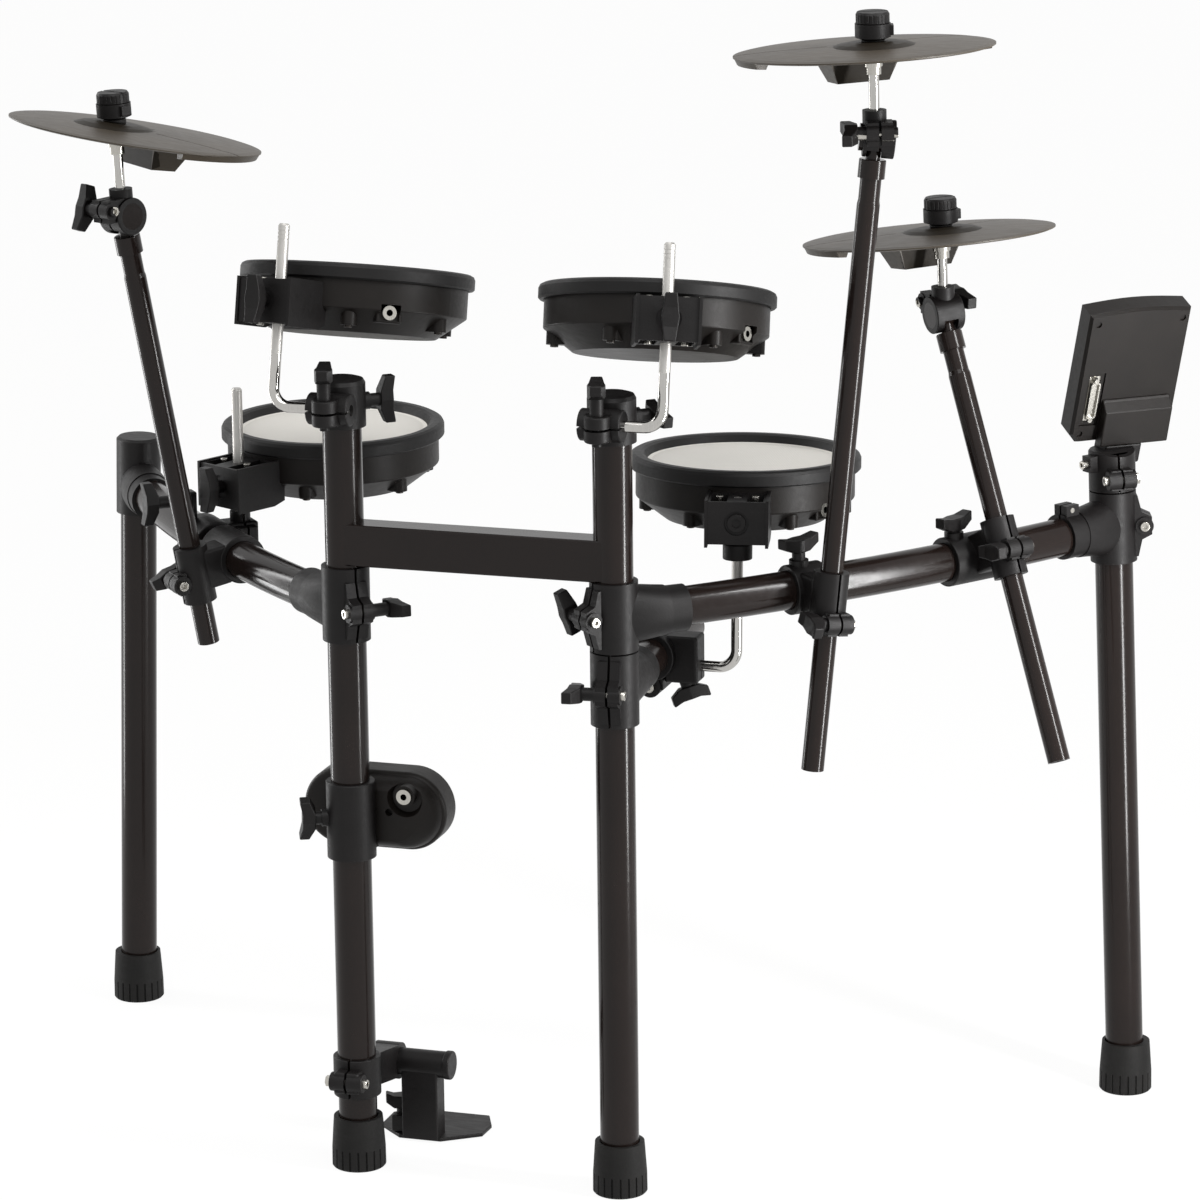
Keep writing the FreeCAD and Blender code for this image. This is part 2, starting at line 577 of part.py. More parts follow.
# Boom clamp, local frame: bar along x towards the front post, outside of the rack at +y
def boom_clamp(off, beta, ear_z, top, alpha):
    wing_x, neck, lean, span = top
    ring = soften(cyl(24.5, max(wing_x, 8) + 28, (-16, 0, 0), (1, 0, 0)), 1.2)
    link = soften(box(-15, 15, 14, off - 6, -20, 20), 3.0)
    holder = cyl(17.0, 58, (0, off, -32))
    ear = box(-11, 11, off + 8, off + 23, ear_z - 11, ear_z + 11)
    knuckle = cyl(9.5, 28, (-14, off + 20, ear_z), (1, 0, 0))
    slot = box(-1.2, 1.2, off, off + 40, -40, 40)
    bore = cyl(BOOM_R + FIT, 90, (0, off, -45))
    hole = cyl(3.2, 40, (-20, off + 20, ear_z), (1, 0, 0))
    bolt = put(cap_screw(4.8, 4, 28), frame(V(-14, off + 20, ear_z), V(-1, 0, 0), V(0, 1, 0)))
    knob = put(wing_bolt(5, 34), frame(V(14, off + 20, ear_z), V(1, 0, 0), V(0, 1, -0.3)))
    tilted = [holder, ear, knuckle, slot, bore, hole, bolt, knob]
    for s in tilted:
        s.rotate(V(0, off, 0), V(0, 1, 0), beta)
    boss, wing = top_wing(wing_x, neck, lean - alpha, span)
    body = fuse(ring, link, tilted[0], tilted[1], tilted[2], boss)
    body = cut(body, tilted[3], tilted[4], tilted[5])
    return [body, tilted[6], tilted[7], wing]


def boom_tube(low, neck):
    step = neck - 25
    body = fuse(cyl(BOOM_R, step - low, (0, 0, low)),
                Part.makeCone(BOOM_R, BOOM_TOP_R, 4, V(0, 0, step)),
                cyl(BOOM_TOP_R, neck + NECK_LEN - 3 - step - 4, (0, 0, step + 4)))
    return cut(body, cyl(BOOM_TOP_R - 1.6, neck + 40 - low, (0, 0, low - 1)))


def boom_neck(neck, axis_turn):
    collar = cut(cyl(13, NECK_LEN, (0, 0, neck)), cyl(BOOM_TOP_R, NECK_LEN - 3, (0, 0, neck)))
    collar = soften(collar, 1.0, [e for e in collar.Edges if abs(e.BoundBox.ZMin - neck - NECK_LEN) < 1e-6])
    stem = cyl(7, TILT_RISE, (0, 0, neck + NECK_LEN - 1))
    core = spin(cyl(CORE_R, 30, (-15, 0, 0), (1, 0, 0)), axis_turn)
    core.translate(V(0, 0, neck + NECK_LEN + TILT_RISE))
    return fuse(collar, stem, core)


# Cymbal, local frame: hub top at the origin, strike side at +x
HUB_MID = -5.5
STRIKE_TURN = 104.0
CREASE = 62.0


def cymbal_top(lift):
    return [(0, -2.6 + lift), (40, -3.4 + lift), (90, -6.0 + lift), (118, -8.0 + lift), (CYMBAL_R,
                                                                                         -9.2 + lift)]


def cymbal():
    disc = lathe(cymbal_top(0) + [(CYMBAL_R, -10.4), (121, -11.5), (90, -9.6), (40, -7.4), (0, -6.8)])
    lip = lathe([(123.8, -10), (121, -16.5), (111, -17.5), (106, -9)], 2 * STRIKE_TURN)
    disc = fuse(disc, spin(lip, -STRIKE_TURN))
    disc.translate(V(BELL_OFFSET, 0, 0))
    bell = lathe([(0, 0), (23, 0), (33, -1.6), (41, -4.6), (41, -7), (0, -7)])
    wires = []
    for z, x0, x1, w in ((-7, 20, 76, 40), (-41, 31, 60, 26)):
        corners = [V(x0, -w, z), V(x1, -w, z), V(x1, w, z), V(x0, w, z)]
        wires.append(Part.makePolygon(corners + [corners[0]]))
    housing = Part.makeLoft(wires, True)
    body = fuse(disc, bell, housing, cyl(18, 5, (0, 0, -11)))
    mouth = V(68, 0, -24)
    out = unit(V(34, 0, -16))
    body = cut(body, rod(JACK_R, mouth - out * 22, mouth + out * 8), cyl(7.7, 60, (0, 0, -40)))
    skin = lathe(cymbal_top(0.1) + [(126, -9.3), (126, -9.9)] + [(r, z - 0.7) for r,
                                                                 z in reversed(cymbal_top(0))][1:])
    skin.translate(V(BELL_OFFSET, 0, 0))
    grooves = [skin.common(spin(box(44, 150, -0.8, 0.8, -20, 10), turn)) for turn in (-CREASE, CREASE)]
    body = cut(body, *grooves)
    return max(body.Solids, key=lambda s: s.Volume), mouth, out


CYMBAL, JACK_MOUTH, JACK_OUT = cymbal()


def nut_stack(gap):
    stopper = lathe([(0, gap), (10.5, gap), (17, gap + 2.4), (17, gap + 15.5), (0, gap + 15.5)])
    stopper = fuse(stopper, soften(box(8, 19.5, -6, 6, gap + 4, gap + 14), 0.8))
    stopper = cut(stopper, cyl(PIN_R, 60, (0, 0, -10)))
    low = gap + 15.5
    nut = lathe([(0, low), (15.2, low), (16, low + 0.8), (16, low + 8.6), (14.6, low + 11), (0, low + 11)])
    ribs = [spin(cyl(0.8, 8, (16.3, 0, low + 1.2)), 15 * k) for k in range(24)]
    nut = cut(nut, cyl(PIN_R, 9, (0, 0, low - 1)), box(-20, 20, -1.3, 1.3, low + 9.8, low + 12), *ribs)
    sleeve = cut(fuse(cyl(8.6, 8, (0, 0, -23.5)), cyl(7.2, 8, (0, 0, -31))), cyl(PIN_R, 60, (0, 0, -50)))
    bushing = cut(Part.makeSphere(7.4, V(0, 0, HUB_MID)), cyl(PIN_R, 60, (0, 0, -30)))
    return [stopper, nut, sleeve, bushing], low + 8


def put_frame(place, at, direction, span):
    return place.multiply(frame(at, direction, span))


def tilter(name, top, boom_dir, ring_az, pin_dir, rise, gap, ear_side, wing_side, span, ring_shift):
    d = unit(boom_dir)
    a = az(ring_az)
    a = unit(a - d * a.dot(d))
    ring = soften(rod(18.5, top + a * (ring_shift - 15), top + a * (ring_shift + 15)), 1.0)
    lug = rod(11.5, top + pin_dir * 6, top + pin_dir * 27)
    place = frame(top + a * ring_shift, pin_dir, a)
    y0, y1 = sorted((6 * ear_side, 27 * ear_side))
    ear = fuse(box(-12, 12, y0, y1, -3, 19), cyl(8.5, 26, (-13, 23 * ear_side, 9), (1, 0, 0)))
    slot = box(-1.2, 1.2, min(12 * ear_side, 40 * ear_side), max(12 * ear_side, 40 * ear_side), -30, 40)
    hole = cyl(3.2, 60, (-30, 23 * ear_side, 9), (1, 0, 0))
    window = put(box(-7.5, 7.5, -15, 15, -40, 0), frame(top, d, a))
    body = fuse(ring, lug, put(ear, place))
    body = cut(body, rod(CORE_R + FIT, top - a * 50, top + a * 50), window, put(slot, place), put(hole,
                                                                                                  place),
               rod(PIN_R, top + pin_dir * (CORE_R + 1.6), top + pin_dir * 60))
    body = max(body.Solids, key=lambda s: s.Volume)
    stack, reach = nut_stack(gap)
    pin = rod(PIN_R, top + pin_dir * (CORE_R + 1.6), top + pin_dir * (rise + reach))
    at = V(0, 23 * ear_side, 9)
    bolt = put(cap_screw(5.0, 4, 26), put_frame(place, at + V(-13 * wing_side, 0, 0),
                                                V(-wing_side, 0, 0), UP))
    wing = put(wing_bolt(8), put_frame(place, at + V(13 * wing_side, 0, 0), V(wing_side, 0, 0), V(*span)))
    hub = frame(top + pin_dir * rise, pin_dir, a)
    node(name + "_tilter", body, pin, bolt, wing, *put_all(stack, hub))
    mark(name + "_tilter", top, a)


RIGHT = V(0.952, 0.305, 0)
AWAY = V(-0.305, 0.952, 0)


def leaning(pair):
    return unit(UP + RIGHT * pair[0] + AWAY * pair[1])


CYMBALS = {
    "ride": dict(side=-1, t=0.401, off=47.4, alpha=9.9, beta=0.0, low=-77.0, neck=333.5, ring_az=-27.0,
                 pin=(-0.05, 0), disc=(0.171, 0.079), rise=92.5, gap=3.7, strike=58.0, ear_side=-1,
                 wing_side=-1,
                 span=(0, 0.4, 1), ring_shift=0.0, ear_z=-8.0, top=(26.0, 10.0, 85.0, V(0.1, 1, 0))),
    "crash": dict(side=1, t=0.349, off=46.9, alpha=0.0, beta=7.6, low=-170.0, neck=407.0, ring_az=17.8,
                  pin=(-0.02, 0), disc=(-0.049, 0.058), rise=92.0, gap=1.8, strike=125.0, ear_side=-1,
                  wing_side=-1,
                  span=(0, 1, 0.15), ring_shift=4.0, ear_z=-22.0, top=(7.0, 8.0, 0.0, V(1, 0.3, 0))),
    "hihat": dict(side=1, t=0.689, off=49.9, alpha=-24.5, beta=1.1, low=-219.0, neck=198.0, ring_az=38.0,
                  pin=(-0.035, 0), disc=(-0.077, 0.098), rise=86.4, gap=2.6, strike=134.0, ear_side=1,
                  wing_side=1,
                  span=(0, 1, 0.15), ring_shift=0.0, ear_z=-8.0, top=(26.0, 2.0, 0.0, V(1, 0.3, 0))),
}
for name, c in CYMBALS.items():
    p, t, n = bar_point(c["side"], c["t"])
    a = math.radians(c["alpha"])
    b = math.radians(c["beta"])
    flat_up = unit(t.cross(n) * (1 if t.cross(n).z > 0 else -1))
    out = n * math.cos(a) - flat_up * math.sin(a)
    rise_dir = flat_up * math.cos(a) + n * math.sin(a)
    d = rise_dir * math.cos(b) + t * math.sin(b)
    pieces = boom_clamp(c["off"], -c["side"] * c["beta"], c["ear_z"], c["top"], c["alpha"])
    node(name + "_clamp", *on_bar(pieces, c["side"], frame(p, rise_dir, t * -c["side"])))
    base = p + out * c["off"]
    boom_frame = frame(base, d, RIGHT)
    top = base + d * (c["neck"] + NECK_LEN + TILT_RISE)
    flat = az(c["ring_az"])
    flat = unit(flat - d * flat.dot(d))
    local = boom_frame.inverse().Rotation.multVec(flat)
    turn = math.degrees(math.atan2(local.y, local.x))
    tube = put(boom_tube(c["low"], c["neck"]), boom_frame)
    node(name + "_boom", tube, put(boom_neck(c["neck"], turn), boom_frame))
    pin_dir = leaning(c["pin"])
    tilter(name, top, d, c["ring_az"], pin_dir, c["rise"], c["gap"], c["ear_side"], c["wing_side"], c["span"],
           c["ring_shift"])
    normal = leaning(c["disc"])
    strike = az(c["strike"])
    strike = unit(strike - normal * strike.dot(normal))
    pivot = top + pin_dir * (c["rise"] + HUB_MID)
    disc_frame = frame(pivot - normal * HUB_MID, normal, strike)
    node(name + "_cymbal", put(CYMBAL, disc_frame))
    mark(name + "_clamp", p, t)
    mark(name + "_boom", base, d)
    mark(name + "_cymbal", pivot, normal.cross(strike))
    mark(name + "_socket", disc_frame.multVec(JACK_MOUTH), disc_frame.Rotation.multVec(JACK_OUT))


# Sound module, local frame: x to the right seen from behind, y up the panel, z out of the rear face
BUTTONS = ((-26, 28), (26, 28))
MODULE_BACK = MODULE_T / 2
MODULE_FRONT = -MODULE_T / 2
MODULE_SPLIT = -3.0
CASE_HOLES = [(x, y) for x in (-46, 46) for y in (11, MODULE_H - 13)]


def module_outline(inset):
    half = MODULE_W / 2 - inset
    top = MODULE_H - inset
    arch = [(half * (1 - 0.2 * k), top - 3 + 4.0 * math.sin(math.pi * k / 10)) for k in range(11)]
    return [(-half + 7, inset), (half - 3, inset), (half, inset + 4)] + arch + [(-half, inset + 9)]


def ring_wire(points, z):
    corners = [V(x, y, z) for x, y in points]
    return Part.makePolygon(corners + [corners[0]])


def module_rear():
    bevel = Part.makeLoft([ring_wire(module_outline(0), MODULE_BACK - 4),
                           ring_wire(module_outline(2.2), MODULE_BACK)], True)
    rear = fuse(prism(module_outline(0), MODULE_SPLIT, MODULE_BACK - 4), bevel)
    side = [V(-27, 1, MODULE_BACK - 1), V(-27, 52, MODULE_BACK - 1), V(-27, 47, MODULE_BACK + 3),
            V(-27, 40, MODULE_BACK + 12), V(-27, 1, MODULE_BACK + 13)]
    block = soften(face_of(side).extrude(V(74, 0, 0)), 1.6)
    rear = fuse(rear, block)
    hollow = prism(module_outline(3), MODULE_SPLIT - 1, MODULE_BACK - 3)
    tools = [hollow, box(-24, 44, 5, 36, MODULE_BACK - 4, MODULE_BACK + 9)]
    tools.append(box(-48, -28, 20, 80, MODULE_BACK - 2, MODULE_BACK + 20))
    tools.append(box(-44, -32, 24, 76, MODULE_BACK - 4, MODULE_BACK + 1))
    tools.extend([cyl(3.4, 12, (x, y, MODULE_BACK - 2)) for x, y in CASE_HOLES])
    rear = cut(rear, *tools)
    return max(rear.Solids, key=lambda s: s.Volume)


def module_plug():
    shell = rounded(10, 42, 3.5, MODULE_BACK - 3.5, MODULE_BACK + 2.5)
    shell = cut(shell, rounded(7, 39, 2.5, MODULE_BACK - 0.5, MODULE_BACK + 4))
    flange = box(-5.8, 5.8, -25.8, 25.8, MODULE_BACK - 4, MODULE_BACK - 3)
    nuts = [put(hexagon(2.6, MODULE_BACK - 3, MODULE_BACK + 2.5),
                FreeCAD.Placement(V(0, y, 0), FreeCAD.Rotation()))
            for y in (-23, 23)]
    plug = fuse(flange, shell, *nuts)
    plug.translate(V(-38, 50, 0))
    return plug


def module_panel():
    panel = prism(module_outline(0), MODULE_FRONT, MODULE_SPLIT)
    panel = soften(panel, 1.6, [e for e in panel.Edges if abs(e.BoundBox.ZMax - MODULE_FRONT) < 1e-6])
    tools = [prism(module_outline(3.5), MODULE_FRONT + 3, MODULE_SPLIT + 1)]
    tools.append(box(-38, 38, 108, 134, MODULE_FRONT - 1, MODULE_FRONT + 4))
    tools.append(cyl(4.2, 10, (0, 72, MODULE_FRONT - 1)))
    for x, y in BUTTONS:
        tools.append(box(x - 8.3, x + 8.3, y - 5.3, y + 5.3, MODULE_FRONT - 1, MODULE_FRONT + 4))
    glass = box(-38, 38, 108, 134, MODULE_FRONT + 0.4, MODULE_FRONT + 3)
    board = box(-46, 46, 12, MODULE_H - 14, MODULE_FRONT + 7.0, MODULE_FRONT + 8.6)
    posts = [cyl(3, 4.0, (x, y, MODULE_FRONT + 3)) for x in (-40, 40) for y in (20, 100)]
    return [cut(panel, *tools), glass, board] + posts


def button(x, y):
    body = rounded(16, 10, 2.5, MODULE_FRONT - 2.0, MODULE_FRONT + 3.4)
    body = fuse(body, box(-9.5, 9.5, -6.5, 6.5, MODULE_FRONT + 3.3, MODULE_FRONT + 4.3))
    body.translate(V(x, y, 0))
    return body


def dial():
    low = MODULE_FRONT - 11
    knob = lathe([(0, low), (13.5, low), (15, low + 1.5), (15.6, low + 10.5), (0, low + 10.5)])
    knob = cut(knob, *[spin(cyl(0.8, 9, (15.8, 0, low + 1.5)), 12 * k) for k in range(30)])
    knob = fuse(knob, cyl(4.15, 7, (0, 0, low + 10)))
    knob.translate(V(0, 72, 0))
    return knob


mod_out = az(MODULE_AZ)
mod_side = az(MODULE_AZ + 90)
lean = math.radians(MODULE_LEAN)
mod_z = mod_out * math.cos(lean) - UP * math.sin(lean)
mod_y = UP * math.cos(lean) + mod_out * math.sin(lean)
leg_top = leg_at(1, 685)
mod_frame = frame(leg_top - mod_out * 19 + mod_side * 12, mod_z, mod_y.cross(mod_z))
rear = module_rear()
node("module_rear_case", *put_all([rear, module_plug()], mod_frame))
node("module_front_panel", *put_all(module_panel(), mod_frame))
node("module_dial", put(dial(), mod_frame))
for label, (x, y) in zip(("left", "right"), BUTTONS):
    node("module_" + label + "_button", put(button(x, y), mod_frame))
mark("module_dial", mod_frame.multVec(V(0, 72, MODULE_FRONT)), mod_z)
mark("module_button", mod_frame.multVec(V(0, 28, MODULE_FRONT)), mod_z)
mark("module_plug", mod_frame.multVec(V(-38, 50, MODULE_BACK + 2.5)), mod_z)

holder_frame = frame(leg_at(1, 650), leg_up(1), V(1, 0, 0))
EAR_AZ = 300
sleeve = lathe([(0, -17), (TEE_R, -17), (TEE_R, 22), (TEE_R - 1.5, 24), (0, 24)])
ear = spin(fuse(box(15, 34, -11, 11, -12, 8), cyl(9.5, 28, (30, -14, -2), (0, 1, 0))), EAR_AZ)
side_ear = spin(box(15, 31, -7, 7, 4, 20), 228)
holder = put(fuse(sleeve, ear, side_ear), holder_frame)
saddle = soften(box(-20, 20, -22, 0.8, MODULE_BACK - 14, MODULE_BACK + 12), 2.5)
holder = fuse(holder, put(saddle, mod_frame))
tools = [put(cyl(TUBE_R + FIT, 40, (0, 0, -18)), holder_frame)]
tools.append(put(spin(box(12, 45, -1.2, 1.2, -20, 22), EAR_AZ), holder_frame))
tools.append(put(spin(cyl(3.2, 40, (30, -20, -2), (0, 1, 0)), EAR_AZ), holder_frame))
holder = cut(holder, put(box(-60, 60, -0.05, 160, -60, 60), mod_frame), *tools)
holder = max(holder.Solids, key=lambda s: s.Volume)
bolt = spin(put(cap_screw(4.8, 4, 28), frame(V(30, -14, -2), V(0, -1, 0), V(1, 0, 0))), EAR_AZ)
nut = spin(put(cut(hexagon(5.6, 0, 4.5), cyl(2.2, 6)), frame(V(30, 14, -2), V(0, 1, 0), V(1, 0, 0))), EAR_AZ)
stud = spin(put(cap_screw(4.4, 6), frame(V(31, 0, 12), V(1, 0, 0), UP)), 228)
node("module_holder", holder, *put_all([bolt, nut, stud], holder_frame))
mark("module_holder", leg_at(1, 650), leg_up(1))


# Kick trigger, local frame: post axis at the origin, drummer's side at +y
KICK_X0 = -60.0
KICK_X1 = 88.0
KICK_R = 39.5
KICK_DROP = -4.0


def stadium_wire(x0, x1, r, y):
    a = V(x0 + r, y, KICK_DROP - r)
    b = V(x1 - r, y, KICK_DROP - r)
    c = V(x1 - r, y, KICK_DROP + r)
    d = V(x0 + r, y, KICK_DROP + r)
    right = Part.Arc(b, V(x1, y, KICK_DROP), c).toShape()
    left = Part.Arc(d, V(x0, y, KICK_DROP), a).toShape()
    return Part.Wire([Part.makeLine(a, b), right, Part.makeLine(c, d), left])


def stadium(x0, x1, r, y0, y1):
    return Part.Face(stadium_wire(x0, x1, r, y0)).extrude(V(0, y1 - y0, 0))


def kick():
    jack_at = V(53, 0, 18)
    case = stadium(KICK_X0, KICK_X1, KICK_R, 27, 58)
    rim = [e for e in case.Edges if e.BoundBox.YMax < 27.001]
    case = soften(case, 6.0, rim)
    cover = Part.makeLoft([stadium_wire(-20, KICK_X1 - 3, KICK_R - 3, 30),
                           stadium_wire(-14, KICK_X1 - 10, KICK_R - 7, 16),
                           stadium_wire(-6, KICK_X1 - 22, KICK_R - 14, 9)], True)
    cover = cut(cover, box(-80, 8, -50, 60, -80, 80))
    case = fuse(case, cover)
    hollow = stadium(KICK_X0 + 3, KICK_X1 - 3, KICK_R - 3, 33, 60)
    dish = Part.makeCone(21, 15, 12, V(jack_at.x, 4, jack_at.z - 3), V(0, 1, 0))
    post = cyl(10.5, 20, (jack_at.x, 7, jack_at.z), (0, 1, 0))
    case = cut(case, hollow, dish)
    case = fuse(case, post)
    case = cut(case, cyl(6.2, 40, (jack_at.x, 2, jack_at.z), (0, 1, 0)), cyl(3.8, 12, (36, 4, 0), (0, 1, 0)),
               cyl(TUBE_R + FIT, 140, (0, 0, -70)))
    case = max(case.Solids, key=lambda s: s.Volume)
    deck = cut(stadium(KICK_X0 + 3, KICK_X1 - 3, KICK_R - 3, 39, 42), cyl(8, 30,
                                                                          (jack_at.x, 30, jack_at.z),
    (0, 1, 0)))
    sensor = cyl(17.5, 1.5, (14, 42, KICK_DROP), (0, 1, 0))
    foam = cut(stadium(KICK_X0 + 10, KICK_X1 - 10, KICK_R - 10, 42, 52), sensor)
    face = soften(stadium(KICK_X0 + 3, KICK_X1 - 3, KICK_R - 3, 52, 63), 2.5)
    jack = fuse(cyl(6.2, 22, (jack_at.x, 7, jack_at.z), (0, 1, 0)), cyl(7.6, 2.4,
                                                                        (jack_at.x, 4.6, jack_at.z), (0,
                                                                                                      1,
    0)))
    jack = cut(jack, cyl(JACK_R, 20, (jack_at.x, 4, jack_at.z), (0, 1, 0)))
    sleeve = lathe([(0, -44), (TEE_R + 0.6, -44), (TEE_R + 0.6, 32), (TEE_R, 33), (0, 33)])
    web = box(-21, 21, 6, 30, -38, 26)
    lug = spin(cyl(8.5, 12, (17, 0, -4), (1, 0, 0)), 205)
    holder = fuse(sleeve, web, lug)
    holder = cut(holder, cyl(TUBE_R + FIT, 140, (0, 0, -70)), case)
    holder = max(holder.Solids, key=lambda s: s.Volume)
    wing = put(wing_bolt(6), frame(az(205) * 29 + V(0, 0, -4), az(205), V(0.35, -0.3, 1)))
    mark("kick_jack", V(-FRONT_HALF + jack_at.x, 4.6, KICK_Z + jack_at.z), V(0, -1, 0))
    return [case, face, foam, sensor, deck, jack], [holder, wing]


pad_pieces, holder_pieces = kick()
kick_at = FreeCAD.Placement(V(-FRONT_HALF, 0, KICK_Z), FreeCAD.Rotation())
node("kick_pad", *put_all(pad_pieces, kick_at))
node("kick_holder", *put_all(holder_pieces, kick_at))
mark("kick", V(-FRONT_HALF, 0, KICK_Z))


# Pedal bracket
def pedal():
    x = -FRONT_HALF
    collar = soften(cyl(TEE_R, 40, (x, 0, PEDAL_Z - 20)), 1.0)
    arm = [V(x - 12, 10, PEDAL_Z - 16), V(x - 12, 10, PEDAL_Z + 17), V(x - 12, PEDAL_TUBE_Y,
                                                                       PEDAL_TUBE_Z + 17),
           V(x - 12, PEDAL_TUBE_Y, PEDAL_TUBE_Z - 17)]
    arm = face_of(arm).extrude(V(26, 0, 0))
    boss = cyl(18.5, 26, (x - 12, PEDAL_TUBE_Y, PEDAL_TUBE_Z), (1, 0, 0))
    ear = soften(box(x - 13, x + 13, -34, -15, PEDAL_Z - 11, PEDAL_Z + 11), 2.5)
    knuckle = soften(cyl(9.5, 34, (x - 17, -28, PEDAL_Z), (1, 0, 0)), 1.0)
    body = fuse(collar, arm, boss, ear, knuckle)
    body = cut(body, cyl(TUBE_R + FIT, 80, (x, 0, PEDAL_Z - 40)), box(x - 1.2, x + 1.2, -50, 0, 0, 200),
               cyl(3.2, 60, (x - 30, -28, PEDAL_Z), (1, 0, 0)),
               cyl(13.5 + FIT, 60, (x - 9, PEDAL_TUBE_Y, PEDAL_TUBE_Z), (1, 0, 0)))
    bolt = put(cap_screw(4.8, 4, 34), frame(V(x + 17, -28, PEDAL_Z), V(1, 0, 0), V(0, 1, 0)))
    nut = put(cut(hexagon(5.6, 0, 5), cyl(2.2, 6)), frame(V(x - 17, -28, PEDAL_Z), V(-1, 0, 0), V(0, 1, 0)))
    tube = cut(cyl(13.5, 68, (x - 6, PEDAL_TUBE_Y, PEDAL_TUBE_Z), (1, 0, 0)),
               cyl(11.7, 70, (x - 7, PEDAL_TUBE_Y, PEDAL_TUBE_Z), (1, 0, 0)))
    end = soften(cyl(14.6, 7, (x + 62, PEDAL_TUBE_Y, PEDAL_TUBE_Z), (1, 0, 0)), 1.5)
    column = box(x + 18, x + 56, PEDAL_TUBE_Y - 12, PEDAL_TUBE_Y + 12, 3, PEDAL_TUBE_Z)
    column = soften(column, 2.0, [e for e in column.Edges if e.BoundBox.ZLength > 40])
    column = cut(column, cyl(13.5, 90, (x - 10, PEDAL_TUBE_Y, PEDAL_TUBE_Z), (1, 0, 0)),
                 box(x + 20.5, x + 53.5, PEDAL_TUBE_Y - 9.5, PEDAL_TUBE_Y + 9.5, 6, 63))
    outline = [(x + 14, 78), (x + 58, 78), (x + 94, 104), (x + 95, 130), (x + 84, 156), (x + 4, 156),
               (x - 14, 140), (x - 14, 104)]
    plate = soften(prism(outline, 1.0, 5.0), 1.2)
    floor_piece = fuse(column, plate, tube)
    screw_block = soften(box(x + 4, x + 17.9, PEDAL_TUBE_Y - 4, PEDAL_TUBE_Y + 22, 5, 22), 1.5)
    knob = put(wing_bolt(5, 34), frame(V(x + 11, PEDAL_TUBE_Y + 12, 22), UP, V(1, 0.4, 0)))
    return [body, bolt, nut], [floor_piece, end, screw_block, knob]


clamp_pieces, plate_pieces = pedal()
node("pedal_clamp", *clamp_pieces)
node("pedal_plate", *plate_pieces)
mark("pedal_clamp", V(-FRONT_HALF, 0, PEDAL_Z))
mark("pedal_plate", V(-FRONT_HALF, PEDAL_TUBE_Y, PEDAL_TUBE_Z), V(1, 0, 0))

# Shift the origin to the bottom centre of the whole part and write the nodes
everything = Part.makeCompound([s for group in nodes.values() for s in group])
bounds = everything.optimalBoundingBox(True, False)
shift = V(-(bounds.XMin + bounds.XMax) / 2, -(bounds.YMin + bounds.YMax) / 2, -bounds.ZMin)
print("SHIFT", round(shift.x, 5), round(shift.y, 5), round(shift.z, 5))
print("SIZE", round(bounds.XLength, 2), round(bounds.YLength, 2), round(bounds.ZLength, 2))
for name, group in nodes.items():
    moved = []
    for s in group:
        c = s.copy()
        c.translate(shift)
        moved.append(c)
    shape = moved[0] if len(moved) == 1 else Part.makeCompound(moved)
    bad = [i for i, s in enumerate(moved) if not s.isValid()]
    shape.exportStep("parts/" + name + ".step")
    print("NODE", name, len(moved), "BAD" if bad else "ok", bad if bad else "")
for name, point, axis in marks:
    q = point + shift
    place = [round(v, 6) for v in (q.x, q.y, q.z)]
    print("MARK", name, *place, round(axis.x, 8), round(axis.y, 8), round(axis.z, 8))
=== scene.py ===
"""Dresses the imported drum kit: finishes for its rack, pads, cymbals and module, woven heads, and a stage."""

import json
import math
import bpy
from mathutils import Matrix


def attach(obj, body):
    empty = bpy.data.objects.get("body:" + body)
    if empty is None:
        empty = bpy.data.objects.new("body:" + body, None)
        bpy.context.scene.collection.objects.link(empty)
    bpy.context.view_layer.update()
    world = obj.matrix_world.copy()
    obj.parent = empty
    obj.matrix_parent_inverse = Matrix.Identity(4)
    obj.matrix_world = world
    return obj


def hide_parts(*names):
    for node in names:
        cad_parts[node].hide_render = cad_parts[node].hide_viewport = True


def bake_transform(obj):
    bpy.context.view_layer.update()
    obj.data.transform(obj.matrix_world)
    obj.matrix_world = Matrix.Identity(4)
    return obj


bl_info = {
    "name": "Drum kit dresser",
    "version": (1, 0, 0),
    "blender": (4, 5, 0),
    "location": "View3D > Sidebar > Drum kit",
    "description": "Gives the drum kit its finishes, woven heads and studio stage",
    "category": "Object",
}

import bpy
import numpy as np
from mathutils import Matrix, Vector

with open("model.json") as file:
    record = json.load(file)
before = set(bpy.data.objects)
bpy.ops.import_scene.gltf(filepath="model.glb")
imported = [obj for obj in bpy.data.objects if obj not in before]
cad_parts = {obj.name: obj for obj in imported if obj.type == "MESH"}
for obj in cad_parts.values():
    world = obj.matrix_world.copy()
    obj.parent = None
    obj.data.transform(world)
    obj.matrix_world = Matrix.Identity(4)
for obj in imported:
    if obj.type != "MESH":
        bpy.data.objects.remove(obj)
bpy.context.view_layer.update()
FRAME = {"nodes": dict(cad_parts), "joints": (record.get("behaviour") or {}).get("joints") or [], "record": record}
NODES = FRAME["nodes"]
MM = 0.001
PADS = ("left_tom", "right_tom", "floor_tom", "snare")
CYMBALS = ("ride", "crash", "hihat")
# Space between each cymbal's bell and its stopper, depth of the pivot below the bell, and the bell's radius.
STOPPER_GAPS = {"ride": 3.7 * MM, "crash": 1.8 * MM, "hihat": 2.6 * MM}
HUB_DEPTH = 5.5 * MM
BELL_RADIUS = 41.5 * MM
# Height in metres at which each rod's polished part ends and its satin part begins.
ROD_BORDERS = {"left_tom": 0.8243, "right_tom": 0.8261, "floor_tom": 0.5, "snare": 0.5737}
